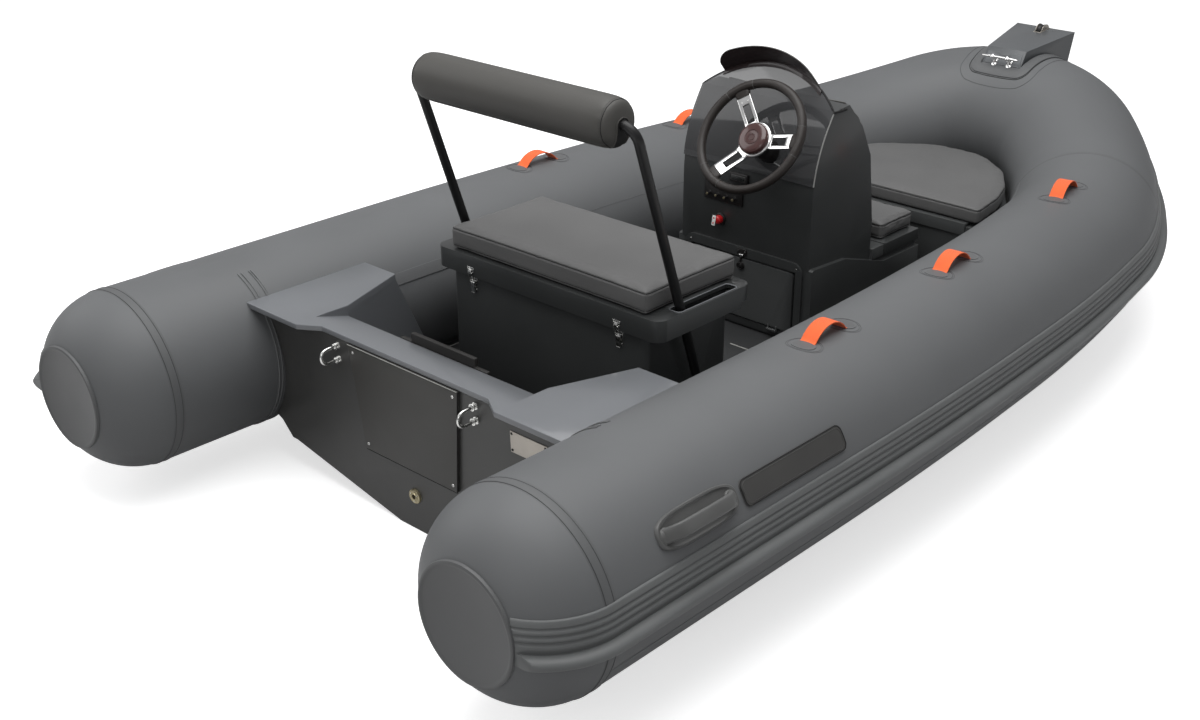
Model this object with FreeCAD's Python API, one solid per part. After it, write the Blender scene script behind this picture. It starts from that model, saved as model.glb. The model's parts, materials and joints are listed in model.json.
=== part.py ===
import FreeCAD, Part
import math
import os
from FreeCAD import Vector as V

os.makedirs("parts", exist_ok=True)

# Inflatable boat with a rigid hull, steering console, locker seats and a bow step.
# Millimetres. Y runs to the bow, X to starboard, Z up from the flat of the keel.
# Stations are measured forward from the after face of the tube ends.

# Buoyancy tubes, and the gap left between curved faces that touch
skin_gap = 0.3
tube_r = 225.0
tube_half = 697.0
tube_z = 293.0
cone_len = 163.0
cone_end_r = 124.0
disc_t = 6.0
disc_lip = 5.0
side_s = 1317.0
side_in = 2.0
quarter_s = 2092.0
quarter_in = 45.0
shoulder_s = 2634.0
shoulder_in = 128.0
shoulder_rise = 0.0
cheek_s = 2972.0
cheek_in = 309.0
cheek_rise = 66.0
bow_s = 3190.0
bow_flat = 168.0
bow_rise = 162.0
bend_share = 0.48

# Rubbing strake
strake_band_h = 66.0
strake_band_t = 5.0
strake_nose_h = 28.0
strake_nose_t = 28.0
strake_sink = 6.0

# Hull
seat_angle = 45.0
keel_pad_half = 65.0
keel_lift_s = 2200.0
chine_in = 76.0
chine_flat = 17.0
chine_drop = 51.0
rail_in = 22.0
rail_drop = 10.0
hull_end_s = 3105.0
sole_t = 10.0
sole_inset = 2.0
transom_s = 455.0
transom_t = 45.0
transom_rake = 2.8
deck_top = 456.0
deck_t = 14.0

# Transom deck
deck_lip = 4.0
wing_s = 416.0
wing_front_s = 790.0
step_in_x = tube_half - 410.0
step_out_x = tube_half - 356.0
well_x = tube_half - 354.0
well_s = 575.0
wing_in_x = tube_half - 279.0
knee_s = 960.0
knee_x = tube_half - 217.0
well_drop = 30.0

# Engine plates
plate_top_half = 190.0
plate_low_half = 161.0
plate_top = 440.0
plate_low = 170.0
plate_t = 8.0
pad_half = 150.0
pad_h = 120.0
pad_t = 12.0
tab_half = 110.0
tab_rise = 22.0

# Towing eyes, bung and data plate
eye_x = 238.0
eye_z = 402.0
eye_gap = 36.0
eye_out = 52.0
eye_r = 4.0
nut_r = 8.0
nut_t = 8.0
bung_z = 96.0
bung_r = 19.0
bung_t = 8.0
bung_hole = 7.0
data_x = tube_half - 295.0
data_z = 372.0
data_w = 112.0
data_h = 52.0
data_t = 2.0

# Seat locker
seat_s = 912.0
seat_len = 306.0
seat_side_gap = 139.0
seat_half = tube_half - tube_r - seat_side_gap
seat_wall = 8.0
seat_top = 506.0
lid_half = seat_half + 50.0
lid_s = 900.0
lid_front = 1246.0
lid_t = 10.0
lid_skirt = 54.5
lid_skirt_front = 38.6
hasp_x = seat_half - 82.0
lid_skirt_t = 6.0
lid_corner = 30.0
lid_gap = 0.6
slot_aft = 253.0
slot_fore = 33.0
slot_w = 34.0
seat_hinge_out = 13.0
seat_hinge_drop = 23.0
cush_half = seat_half + 9.0
cush_s = 903.0
cush_len = 346.0
cush_t = 62.0
cush_gap = 0.3

# Backrest
leg_x = seat_half + 26.0
leg_r = 12.0
pivot_s = 1093.0
pivot_z = 253.0
leg_lean = 19.2
roll_z = 986.0
roll_r = 62.0
roll_half = seat_half - 7.0
roll_round = 18.0
leg_bend = 40.0
pivot_pin_r = 6.0
pivot_eye_r = 17.0

# Console
con_half = 225.0
con_s = 1708.0
con_wall = 8.0
dash_low_z = 560.0
dash_r = 392.0
dash_lean = 32.4
con_top_z = 800.0
con_crown_s = 1855.0
con_crown_z = 806.0
con_brow_s = 1925.0
con_brow_z = 733.0
con_back_s = 1975.0
con_back_z = 640.0
con_seat_s = 2008.0
pad_low_z = 433.0
seat2_front = 2252.0
seat2_top = 343.0
hatch_half = 185.0
hatch_low = 172.0
hatch_top = 356.0
frame_half = 208.0
frame_low = 150.0
frame_top = 384.0
frame_t = 6.0
frame_corner = 34.0
door_t = 10.0
door_gap = 4.0
screen_t = 5.0
screen_low_z = 610.0
screen_top_z = 882.0
screen_arch_r = 340.0
visor_half = 165.0
visor_reach = 70.0
visor_t = 4.0
visor_lean = 41.0
visor_lap = 12.0
plinth_t = 12.0
plinth_z = 369.0
plinth_fall = 66.0

# Helm
wheel_x = 66.0
wheel_s = 1633.0
wheel_z = 735.0
wheel_tilt = 35.0
wheel_r = 152.0
rim_r = 13.0
hub_r = 45.0
hub_t = 26.0
spoke_w = 41.0
spoke_slot_w = 22.0
spoke_t = 6.0
wheel_dish = 25.0
spoke_angles = (6.0, 127.0, 241.0)
column_r = 32.0
shaft_r = 10.0
shaft_gap = 0.3

# Grab rail
grab_out = 30.0
grab_low_z = 420.0
grab_knee_z = 620.0
grab_top_z = 745.0
grab_low_s = con_s + 50.0
grab_top_s = con_s + 130.0

# Console front seat
seat2_lid_t = 10.0
seat2_ledge_s = 2066.0
seat2_lid_s = 2071.0
seat2_skirt = 33.0
seat2_skirt_gap = 3.0
seat2_skirt_t = 6.0
seat2_cush_t = 50.0
seat2_cush_s = 2078.0
backpad_t = 26.0
backpad_half = 205.0

# Bow locker and cushion
bowbox_s = 2355.0
bowbox_top = 353.0
bowbox_wall = 8.0
bowlid_half = 330.0
bowlid_t = 10.0
bowlid_lip = 36.0
bow_clear_gap = 18.0
bow_hinge_out = 12.0
bowcush_t = 50.0
bowcush_in = 7.0
bowcush_round = 190.0
bowcush_corner = 18.0

# Bow step, roller and cleat
bow_tube_top = tube_z + bow_rise + tube_r
step_rear_s = bow_s - 136.0
step_rear_z = bow_tube_top - 69.0
step_top_s = bow_s - 82.0
step_top_z = bow_tube_top + 22.0
step_front_s = bow_s + 174.0
step_front_z = bow_tube_top + 51.0
step_foot_s = bow_s + 138.0
step_foot_z = bow_tube_top - 120.0
step_rear_half = 71.0
step_front_half = 108.0
roller_s = bow_s + 148.0
roller_r = 22.0
roller_w = 16.0
roller_slot_half = 13.0
roller_rise = 4.0
roller_pin_r = 5.0
cleat_z = bow_tube_top - 14.0
cleat_half = 65.0
cleat_r = 5.0
cleat_post_x = 27.0
cleat_out = 26.0

# Straps, handles and side plates
strap_w = 40.0
strap_t = 2.0
strap_len = 118.0
strap_rise = 30.0
strap_star = (1105.0, 1680.0, 2390.0)
strap_port = (1572.0, 2230.0)
handle_s = 430.0
handle_len = 240.0
handle_w = 76.0
handle_t = 12.0
handle_rise = 34.0
handle_angle = 32.0
plate2_len = 345.0
plate2_s = handle_s + handle_len / 2.0 + 12.5 + plate2_len / 2.0
plate2_angle = 30.0
plate2_span = 15.0
plate2_t = 4.0

pieces = {}
sin = math.sin
cos = math.cos
rad = math.radians


def box(x0, x1, y0, y1, z0, z1):
    return Part.makeBox(x1 - x0, y1 - y0, z1 - z0, V(x0, y0, z0))


def rod(p, d, r, length):
    return Part.makeCylinder(r, length, V(*p), V(*d))


def face(points):
    return Part.Face(Part.makePolygon([V(*p) for p in points] + [V(*points[0])]))


def prism_x(yz, x0, x1):
    return face([(x0, y, z) for y, z in yz]).extrude(V(x1 - x0, 0, 0))


def prism_y(xz, y0, y1):
    return face([(x, y0, z) for x, z in xz]).extrude(V(0, y1 - y0, 0))


def prism_z(xy, z0, z1):
    return face([(x, y, z0) for x, y in xy]).extrude(V(0, 0, z1 - z0))


def fuse(shapes):
    out = shapes[0].fuse(shapes[1:]) if len(shapes) > 1 else shapes[0]
    return out.removeSplitter()


def cut(a, tools):
    for tool in tools:
        a = a.cut(tool)
    return a


def mirror(shape):
    return shape.mirror(V(0, 0, 0), V(1, 0, 0))


def both(shape):
    return Part.makeCompound([shape, mirror(shape)])


def turn(shape, origin, axis, degrees):
    out = shape.copy()
    out.rotate(V(*origin), V(*axis), degrees)
    return out


def round_edges(shape, radius, axis, from_s=-9999.0, to_s=9999.0):
    """Round the straight edges that run along one axis, between two stations."""
    picked = []
    for e in shape.Edges:
        if e.Curve.TypeId != "Part::GeomLine":
            continue
        d = e.Vertexes[1].Point.sub(e.Vertexes[0].Point).normalize()
        if abs(abs(d.dot(V(*axis))) - 1.0) < 1e-6 and from_s < e.CenterOfMass.y < to_s:
            picked.append(e)
    return shape.makeFillet(radius, picked)


def arc_path(points, share=None, radii=None):
    """Straight runs joined by tangent arcs, and the radius of each arc."""
    pts = [V(*p) for p in points]
    edges = []
    used = []
    last = pts[0]
    for i in range(1, len(pts) - 1):
        a = pts[i - 1].sub(pts[i])
        b = pts[i + 1].sub(pts[i])
        half = a.getAngle(b) / 2.0
        if radii is None:
            t = share * min(a.Length, b.Length)
            r = t * math.tan(half)
        else:
            r = radii[i - 1]
            t = r / math.tan(half)
        used.append(r)
        a.normalize()
        b.normalize()
        p = pts[i].add(V(a).multiply(t))
        q = pts[i].add(V(b).multiply(t))
        m = V(a).add(b).normalize()
        mid = pts[i].add(m.multiply(r / sin(half) - r))
        if last.sub(p).Length > 0.01:
            edges.append(Part.LineSegment(last, p).toShape())
        edges.append(Part.Arc(p, mid, q).toShape())
        last = q
    edges.append(Part.LineSegment(last, pts[-1]).toShape())
    return edges, used


def pipe(edges, r):
    first = edges[0]
    start = first.valueAt(first.FirstParameter)
    way = first.tangentAt(first.FirstParameter)
    ring = Part.Wire(Part.makeCircle(r, start, way))
    return Part.Wire(edges).makePipeShell([ring], True, False)


# Tube centreline, from the starboard cone round the bow
half_line = [
    (tube_half, cone_len, tube_z),
    (tube_half - side_in, side_s, tube_z),
    (tube_half - quarter_in, quarter_s, tube_z),
    (tube_half - shoulder_in, shoulder_s, tube_z + shoulder_rise),
    (tube_half - cheek_in, cheek_s, tube_z + cheek_rise),
    (bow_flat, bow_s, tube_z + bow_rise),
]
line = half_line + [(-x, y, z) for x, y, z in reversed(half_line)]
line_edges, line_radii = arc_path(line, share=bend_share)
centre_points = Part.Wire(line_edges).discretize(600)


def tube_at(s):
    """Centre of the starboard tube at a station, as x and z."""
    if s <= cone_len:
        return tube_half, tube_z
    best = min((p for p in centre_points if p.x >= 0), key=lambda p: abs(p.y - s))
    return best.x, best.z


def tube_inside(s, z, gap=0.0):
    """Half-width between the tubes at a station and height."""
    x, cz = tube_at(s)
    r = tube_r + gap
    return x - math.sqrt(max(r * r - (z - cz) ** 2, 0.0))


# The side tubes end past the shoulder arc, and the bow tube runs between them
side_count = 6
side_edges = line_edges[:side_count]
bow_edges = line_edges[side_count:-side_count]
tube_stbd = pipe(side_edges, tube_r)
side_clear = pipe(side_edges, tube_r + skin_gap)
side_clears = [side_clear, mirror(side_clear)]
bow_clear = pipe(bow_edges, tube_r + skin_gap)
pieces["tube_starboard"] = tube_stbd
pieces["tube_port"] = mirror(tube_stbd)
pieces["tube_bow"] = pipe(bow_edges, tube_r)

# Tail cones and their end discs
cone_fall = tube_r - cone_end_r
cone_arc_r = (cone_len ** 2 + cone_fall ** 2) / (2.0 * cone_fall)
cone_sweep = math.asin(cone_len / cone_arc_r)
cone_mid_r = tube_r - cone_arc_r + cone_arc_r * cos(cone_sweep / 2.0)
cone_mid_s = cone_len - cone_arc_r * sin(cone_sweep / 2.0)
cone_curve = Part.Arc(V(cone_end_r, 0, 0), V(cone_mid_r, cone_mid_s, 0), V(tube_r, cone_len, 0)).toShape()
cone_wire = Part.Wire([
    Part.LineSegment(V(0, 0, 0), V(cone_end_r, 0, 0)).toShape(),
    cone_curve,
    Part.LineSegment(V(tube_r, cone_len, 0), V(0, cone_len, 0)).toShape(),
    Part.LineSegment(V(0, cone_len, 0), V(0, 0, 0)).toShape(),
])
cone = Part.Face(cone_wire).revolve(V(0, 0, 0), V(0, 1, 0), 360)
cone.translate(V(tube_half, 0, tube_z))
cone = max(cone.cut(tube_stbd).Solids, key=lambda q: q.Volume)
pieces["tail_cones"] = both(cone)
disc = rod((tube_half, -disc_t, tube_z), (0, 1, 0), cone_end_r + disc_lip, disc_t)
disc = disc.cut(rod((tube_half, -disc_t, tube_z), (0, 1, 0), cone_end_r - disc_lip, disc_t / 2))
pieces["end_discs"] = both(disc)

# Rubbing strake along the widest line of the tubes, hollowed to fit over them
skin_r = tube_r + skin_gap
turn_r = cone_arc_r + skin_gap
turn_run = turn_r * math.tan(cone_sweep / 2.0)
start_run = turn_run + strake_sink
outer = [
    (tube_half + skin_r - start_run * sin(cone_sweep), cone_len - turn_run - start_run * cos(cone_sweep),
     tube_z),
    (tube_half + skin_r, cone_len - turn_run, tube_z),
]
mids = line[1:-1]
grown = []
for i, p in enumerate(mids):
    before = V(*line[i])
    here = V(*p)
    after = V(*line[i + 2])
    a = here.sub(before)
    b = after.sub(here)
    na = V(a.y, -a.x, 0).normalize()
    nb = V(b.y, -b.x, 0).normalize()
    n = na.add(nb).normalize()
    grown.append(here.add(n.multiply(skin_r / n.dot(na))))
strake_points = [outer[0], outer[1]] + [(p.x, p.y, p.z) for p in grown]
strake_points = strake_points + [(-x, y, z) for x, y, z in reversed(outer)]
strake_radii = [turn_r] + [r + tube_r for r in line_radii] + [turn_r]
strake_edges, _ = arc_path(strake_points, radii=strake_radii)
top_drop = tube_r - math.sqrt(tube_r ** 2 - strake_band_h ** 2)
half_drop = tube_r - math.sqrt(tube_r ** 2 - (strake_band_h / 2.0) ** 2)
nose_mid = -strake_nose_h / 2.0
u = V(strake_points[1][1] - strake_points[0][1], -(strake_points[1][0] - strake_points[0][0]), 0).normalize()
o = V(*strake_points[0])


def on_strake(out, up):
    return o.add(V(u).multiply(out)).add(V(0, 0, up))


band_top = on_strake(strake_band_t - top_drop, strake_band_h)
band_mid = on_strake(strake_band_t - half_drop, strake_band_h / 2.0)
band_low = on_strake(strake_band_t, 0)
nose_low = on_strake(strake_band_t, -strake_nose_h)
strake_wire = Part.Wire([
    Part.LineSegment(on_strake(-top_drop - strake_sink, strake_band_h), band_top).toShape(),
    Part.Arc(band_top, band_mid, band_low).toShape(),
    Part.Arc(band_low, on_strake(strake_nose_t, nose_mid), nose_low).toShape(),
    Part.LineSegment(nose_low, on_strake(-top_drop - strake_sink, -strake_nose_h)).toShape(),
    Part.LineSegment(on_strake(-top_drop - strake_sink, -strake_nose_h),
                     on_strake(-top_drop - strake_sink, strake_band_h)).toShape(),
])
shell = Part.BRepOffsetAPI.MakePipeShell(Part.Wire(strake_edges))
shell.setBiNormalMode(V(0, 0, 1))
shell.add(strake_wire)
shell.build()
shell.makeSolid()
strake = shell.shape()
strake = strake.cut(box(-2 * tube_half, 2 * tube_half, -100.0, 0.0, 0.0, 2 * tube_z))
g = skin_gap
clear_curve = Part.Arc(V(cone_end_r + g, 0, 0), V(cone_mid_r + g, cone_mid_s, 0),
                       V(tube_r + g, cone_len, 0)).toShape()
clear_wire = Part.Wire([
    Part.LineSegment(V(0, -1, 0), V(cone_end_r + g, -1, 0)).toShape(),
    Part.LineSegment(V(cone_end_r + g, -1, 0), V(cone_end_r + g, 0, 0)).toShape(),
    clear_curve,
    Part.LineSegment(V(tube_r + g, cone_len, 0), V(0, cone_len, 0)).toShape(),
    Part.LineSegment(V(0, cone_len, 0), V(0, -1, 0)).toShape(),
])
cone_clear = Part.Face(clear_wire).revolve(V(0, 0, 0), V(0, 1, 0), 360)
cone_clear.translate(V(tube_half, 0, tube_z))
strake = cut(strake, side_clears + [bow_clear, cone_clear, mirror(cone_clear)])
pieces["rubbing_strake"] = max(strake.Solids, key=lambda q: q.Volume)

# Hull: sections joined by straight panels, flat on top for the sole
seat_reach = (tube_r + skin_gap) * cos(rad(seat_angle))
rail_z = tube_z - seat_reach
sole_z = rail_z
sole_top = sole_z + sole_t


def hull_section(s, keel_z):
    cx, cz = tube_at(s)
    ex = cx - seat_reach
    ez = cz - seat_reach
    k = min(1.0, ex / (tube_half - seat_reach - chine_in))
    pad = keel_pad_half * k
    side = [
        (pad, keel_z),
        (ex - chine_in * k, ez - chine_drop * k),
        (ex - (chine_in - chine_flat) * k, ez - chine_drop * k),
        (ex - rail_in * k, ez - rail_drop * k),
        (ex, ez),
    ]
    ring = side + [(-x, z) for x, z in reversed(side)]
    return Part.makePolygon([V(x, s, z) for x, z in ring + ring[:1]])


hull_keel = (
    (transom_s - 5.0, 0.0),
    (keel_lift_s, 0.0),
    (2480.0, 12.0),
    (2700.0, 50.0),
    (2880.0, 104.0),
    (3010.0, 160.0),
    (hull_end_s, 212.0),
)
hull = Part.makeLoft([hull_section(s, z) for s, z in hull_keel], True, True)

rake_tan = math.tan(rad(transom_rake))


def transom_y(z):
    """After face of the transom at a height."""
    return transom_s + (deck_top - z) * rake_tan


deck_low = deck_top - deck_t
panel = prism_x([
    (transom_y(rail_z - 1.0), rail_z - 1.0),
    (transom_y(deck_low), deck_low),
    (transom_y(deck_low) + transom_t, deck_low),
    (transom_y(rail_z - 1.0) + transom_t, rail_z - 1.0),
], -tube_half + 100.0, tube_half - 100.0)
panel = cut(panel, side_clears)
wedge = prism_x([
    (transom_y(0.0) - 60.0, -5.0),
    (transom_y(-5.0), -5.0),
    (transom_y(rail_z + 5.0), rail_z + 5.0),
    (transom_y(rail_z + 5.0) - 60.0, rail_z + 5.0),
], -tube_half, tube_half)

# Sole
sole_line = []
for s in (transom_y(sole_top) + transom_t, 1100.0, 1700.0, 2100.0, bowbox_s):
    sole_line.append((tube_inside(s, sole_top, skin_gap) - sole_inset, s))
sole_xy = sole_line + [(-x, y) for x, y in reversed(sole_line)]
sole = prism_z(sole_xy, sole_z, sole_top)
pieces["cockpit_sole"] = sole
hull = cut(fuse([hull.cut(wedge), panel]), side_clears + [bow_clear, sole])
hull = max(hull.Solids, key=lambda q: q.Volume)
pieces["hull"] = hull

# Transom deck with a fairing each side of the engine well
deck_xy = [
    (tube_half, wing_s), (step_out_x, wing_s), (step_in_x, transom_s - deck_lip),
    (-step_in_x, transom_s - deck_lip), (-step_out_x, wing_s), (-tube_half, wing_s),
    (-tube_half, wing_front_s), (-wing_in_x, wing_front_s), (-well_x, well_s),
    (well_x, well_s), (wing_in_x, wing_front_s), (tube_half, wing_front_s),
]
deck_plate = prism_z(deck_xy, deck_low, deck_top)
bar_low = deck_low - well_drop
bar_back = transom_y(bar_low) + transom_t
bar = prism_x([
    (bar_back, bar_low), (transom_y(deck_low) + transom_t, deck_low), (well_s, deck_low), (well_s, bar_low),
], -well_x, well_x)
slope_cut = prism_x([
    (transom_s + 20.0, deck_top), (transom_s + 20.0, deck_top + 5.0), (well_s + 5.0, deck_top + 5.0),
    (well_s + 5.0, deck_top - well_drop),
], -well_x, well_x)
low_ring = [
    (well_x, transom_y(sole_top) + transom_t), (well_x, well_s + 25.0), (knee_x, knee_s),
    (tube_half, knee_s + 25.0), (tube_half, transom_y(sole_top) + transom_t),
]
top_ring = [
    (well_x, transom_y(deck_low) + transom_t), (well_x, well_s), (wing_in_x, wing_front_s),
    (tube_half, wing_front_s), (tube_half, transom_y(deck_low) + transom_t),
]
knee = Part.makeLoft([
    Part.makePolygon([V(x, y, sole_top) for x, y in low_ring + low_ring[:1]]),
    Part.makePolygon([V(x, y, deck_low) for x, y in top_ring + top_ring[:1]]),
], True, True)
deck = fuse([deck_plate, bar, knee, mirror(knee)])
deck = cut(deck, side_clears + [slope_cut])
pieces["transom_deck"] = deck

# Engine plates on the transom
outer_plate = prism_y([
    (-plate_top_half, plate_top), (plate_top_half, plate_top), (plate_low_half,
                                                                plate_low), (-plate_low_half, plate_low),
], 0, plate_t)
outer_plate = turn(outer_plate, (0, 0, deck_top), (1, 0, 0), transom_rake)
outer_plate.translate(V(0, transom_s - plate_t / cos(rad(transom_rake)), 0))
pieces["engine_plate_outer"] = outer_plate
pad_top = deck_top - well_drop + 4.0
pad = box(-pad_half, pad_half, well_s, well_s + pad_t, pad_top - pad_h, pad_top)
tab = box(-tab_half, tab_half, well_s, well_s + pad_t, pad_top, pad_top + tab_rise)
pieces["engine_pad_inner"] = fuse([pad, tab])

# Towing eyes: a bent rod with a nut on each leg, standing out from the transom
eye_y = transom_y(eye_z)
eye_path, _ = arc_path([
    (eye_x, eye_y, eye_z + eye_gap / 2), (eye_x, eye_y - eye_out, eye_z + eye_gap / 2),
    (eye_x, eye_y - eye_out, eye_z - eye_gap / 2), (eye_x, eye_y, eye_z - eye_gap / 2),
], radii=[eye_gap / 2 - 0.01, eye_gap / 2 - 0.01])
eye_parts = [pipe(eye_path, eye_r)]
for k in (-1, 1):
    eye_parts.append(rod((eye_x, eye_y - nut_t - 2.0, eye_z + k * eye_gap / 2), (0, 1, 0), nut_r, nut_t))
    eye_parts.append(rod((eye_x, eye_y - 3.0, eye_z + k * eye_gap / 2), (0, 1, 0), nut_r + 3.0, 2.0))
eye = fuse(eye_parts)
eye = eye.cut(prism_x([
    (transom_y(0.0), 0.0), (transom_y(deck_top), deck_top), (transom_s + 60.0, deck_top), (transom_s + 60.0,
                                                                                           0.0),
], 0.0, tube_half))
pieces["towing_eyes"] = both(eye)

bung = rod((0, transom_y(bung_z) - bung_t, bung_z), (0, 1, 0), bung_r, bung_t)
bung = bung.cut(rod((0, transom_y(bung_z) - bung_t, bung_z), (0, 1, 0), bung_hole, bung_t - 2.0))
pieces["drain_bung"] = turn(bung, (0, transom_y(bung_z), bung_z), (1, 0, 0), transom_rake)

data = box(data_x - data_w / 2, data_x + data_w / 2, -data_t, 0, data_z - data_h / 2, data_z + data_h / 2)
data.translate(V(0, transom_y(data_z), 0))
pieces["data_plate"] = turn(data, (0, transom_y(data_z), data_z), (1, 0, 0), transom_rake)


def hinge_lugs(xs, axis_y, axis_z, wall_y, wall_z, pin_r, width):
    """Fixed lugs with a pin: each reaches from a wall point to the axis."""
    out = []
    for x in xs:
        lug = rod((x - width / 2, axis_y, axis_z), (1, 0, 0), pin_r + 3.0, width)
        y0 = min(axis_y, wall_y)
        y1 = max(axis_y, wall_y)
        z0 = min(axis_z, wall_z)
        z1 = max(axis_z, wall_z)
        if y1 - y0 > z1 - z0:
            arm = box(x - width / 2, x + width / 2, y0, y1, axis_z - pin_r - 2.0, axis_z + pin_r)
        else:
            arm = box(x - width / 2, x + width / 2, axis_y - pin_r, axis_y + pin_r, z0, z1)
        pin = rod((x - width / 2 - 8.0, axis_y, axis_z), (1, 0, 0), pin_r, width + 16.0)
        out.append(fuse([lug, arm, pin]))
    return out


def hinge_ears(xs, axis_y, axis_z, to_y, to_z, pin_r, width):
    """Moving ears round the same pin, each with a web up to the moving piece."""
    out = []
    for x in xs:
        for k in (-1, 1):
            x0 = x + k * (width / 2 + 1.0) - (0.0 if k > 0 else 5.0)
            ear = rod((x0, axis_y, axis_z), (1, 0, 0), pin_r + 3.0, 5.0)
            web = box(x0, x0 + 5.0, min(axis_y, to_y) - (3.0 if to_y == axis_y else 0.0),
                      max(axis_y, to_y) + (3.0 if to_y == axis_y else 0.0),
                      min(axis_z, to_z) - (3.0 if to_z == axis_z else 0.0),
                      max(axis_z, to_z) + (3.0 if to_z == axis_z else 0.0))
            hole = rod((x0 - 1.0, axis_y, axis_z), (1, 0, 0), pin_r + 0.3, 7.0)
            out.append(fuse([ear, web]).cut(hole))
    return out


# Seat locker with its lid, hinged along the forward edge
seat_end = seat_s + seat_len
seat_box = box(-seat_half, seat_half, seat_s, seat_end, sole_top, seat_top)
seat_box = round_edges(seat_box, 18.0, (0, 0, 1))
seat_room = box(-seat_half + seat_wall, seat_half - seat_wall, seat_s + seat_wall, seat_end - seat_wall,
                sole_top + seat_wall, seat_top)
seat_room = round_edges(seat_room, 10.0, (0, 0, 1))
seat_box = seat_box.cut(seat_room)
seat_axis_s = seat_end + seat_hinge_out
seat_axis_z = seat_top - seat_hinge_drop
seat_pin_r = 3.0
lug_xs = (-200.0, 200.0)
lugs = hinge_lugs(lug_xs, seat_axis_s, seat_axis_z, seat_end, seat_axis_z, seat_pin_r, 24.0)
pivot_out = leg_x + leg_r + 2.0
boss = rod((seat_half, pivot_s, pivot_z), (1, 0, 0), pivot_pin_r + 6.0, leg_x - leg_r - 2.0 - seat_half)
pin = rod((seat_half, pivot_s, pivot_z), (1, 0, 0), pivot_pin_r, pivot_out + 4.0 - seat_half)
head = rod((pivot_out, pivot_s, pivot_z), (1, 0, 0), pivot_pin_r + 4.0, 4.0)
pivot = fuse([boss, pin, head])
pieces["seat_locker"] = fuse([seat_box] + lugs + [pivot, mirror(pivot)])

lid_z = seat_top + lid_gap
lid_top = lid_z + lid_t
lid = box(-lid_half, lid_half, lid_s, lid_front, lid_top - lid_skirt, lid_top)
lid = round_edges(lid, lid_corner, (0, 0, 1))
lid_in = box(-lid_half + lid_skirt_t, lid_half - lid_skirt_t, lid_s + lid_skirt_t, lid_front - lid_skirt_t,
             lid_top - lid_skirt - 1.0, lid_z)
lid_in = round_edges(lid_in, lid_corner - lid_skirt_t, (0, 0, 1))
lid_under = box(-lid_half - 1.0, lid_half + 1.0, seat_end - 12.0, lid_front + 1.0,
                lid_top - lid_skirt - 1.0, lid_top - lid_skirt_front)
lid = cut(lid, [lid_in, lid_under])
slot = box(leg_x - slot_w / 2, leg_x + slot_w / 2, seat_axis_s - slot_aft, seat_axis_s - slot_fore,
           seat_top - 30.0, lid_top + 1.0)
slot = round_edges(slot, 10.0, (0, 0, 1))
lid = cut(lid, [slot, mirror(slot)])
ears = hinge_ears(lug_xs, seat_axis_s, seat_axis_z, seat_axis_s, lid_z + 1.0, seat_pin_r, 24.0)
pieces["seat_lid"] = fuse([lid] + ears)

cush = box(-cush_half, cush_half, cush_s, cush_s + cush_len, lid_top + cush_gap, lid_top + cush_gap + cush_t)
pieces["seat_cushion"] = round_edges(cush, 14.0, (0, 0, 1))

skirt_low = lid_top - lid_skirt
latches = []
hasps = []
for x in (-hasp_x, hasp_x):
    latches.append(box(x - 11.0, x + 11.0, seat_s - 9.0, seat_s, skirt_low - 42.0, skirt_low - 6.0))
    hasps.append(box(x - 9.0, x + 9.0, lid_s - 5.0, lid_s, skirt_low + 4.5, skirt_low + 30.5))
pieces["seat_latches"] = Part.makeCompound(latches)
pieces["seat_hasps"] = Part.makeCompound(hasps)

# Backrest: two legs through the lid slots, joined by a tube inside the bolster
lean = math.tan(rad(leg_lean))
roll_s = pivot_s - (roll_z - pivot_z) * lean
leg_edges, _ = arc_path([
    (leg_x, pivot_s, pivot_z), (leg_x, roll_s, roll_z), (-leg_x, roll_s, roll_z), (-leg_x, pivot_s, pivot_z),
], radii=[leg_bend, leg_bend])
frame = pipe(leg_edges, leg_r)
eye_a = rod((leg_x - leg_r, pivot_s, pivot_z), (1, 0, 0), pivot_eye_r, leg_r * 2)
hole_a = rod((leg_x - leg_r - 1.0, pivot_s, pivot_z), (1, 0, 0), pivot_pin_r + 0.3, leg_r * 2 + 2.0)
frame = fuse([frame, eye_a, mirror(eye_a)])
pieces["backrest_frame"] = cut(frame, [hole_a, mirror(hole_a)])
roll = rod((-roll_half, roll_s, roll_z), (1, 0, 0), roll_r, roll_half * 2)
roll = roll.makeFillet(roll_round, [e for e in roll.Edges if e.Curve.TypeId == "Part::GeomCircle"])
bore = rod((-roll_half - 1.0, roll_s, roll_z), (1, 0, 0), leg_r + 0.4, roll_half * 2 + 2.0)
slit = prism_x([
    (roll_s - leg_r - 4.0, roll_z), (roll_s + leg_r + 4.0, roll_z),
    (roll_s + leg_r + 24.0, roll_z - roll_r), (roll_s - leg_r - 2.0, roll_z - roll_r),
], roll_half - 24.0, roll_half + 2.0)
pieces["backrest_bolster"] = cut(roll, [bore, slit, mirror(slit)])

# Console: one hollow moulding with the base of the front seat
lean_in = rad(dash_lean)
dash_s = con_s + dash_r


def dash_point(rho, degrees):
    """A point on a circle round the centre of the curved dash."""
    return dash_s - rho * cos(rad(degrees)), dash_low_z + rho * sin(rad(degrees))


def dash_line(rho, top_z):
    """The curved dash and its straight upper run, at a distance from the dash centre."""
    y0, z0 = dash_point(rho, 0.0)
    ym, zm = dash_point(rho, dash_lean / 2.0)
    y1, z1 = dash_point(rho, dash_lean)
    arc = Part.Arc(V(0, y0, z0), V(0, ym, zm), V(0, y1, z1)).toShape()
    end = V(0, y1 + (top_z - z1) * math.tan(lean_in), top_z)
    return [arc, Part.LineSegment(V(0, y1, z1), end).toShape()], V(0, y0, z0), end


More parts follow.
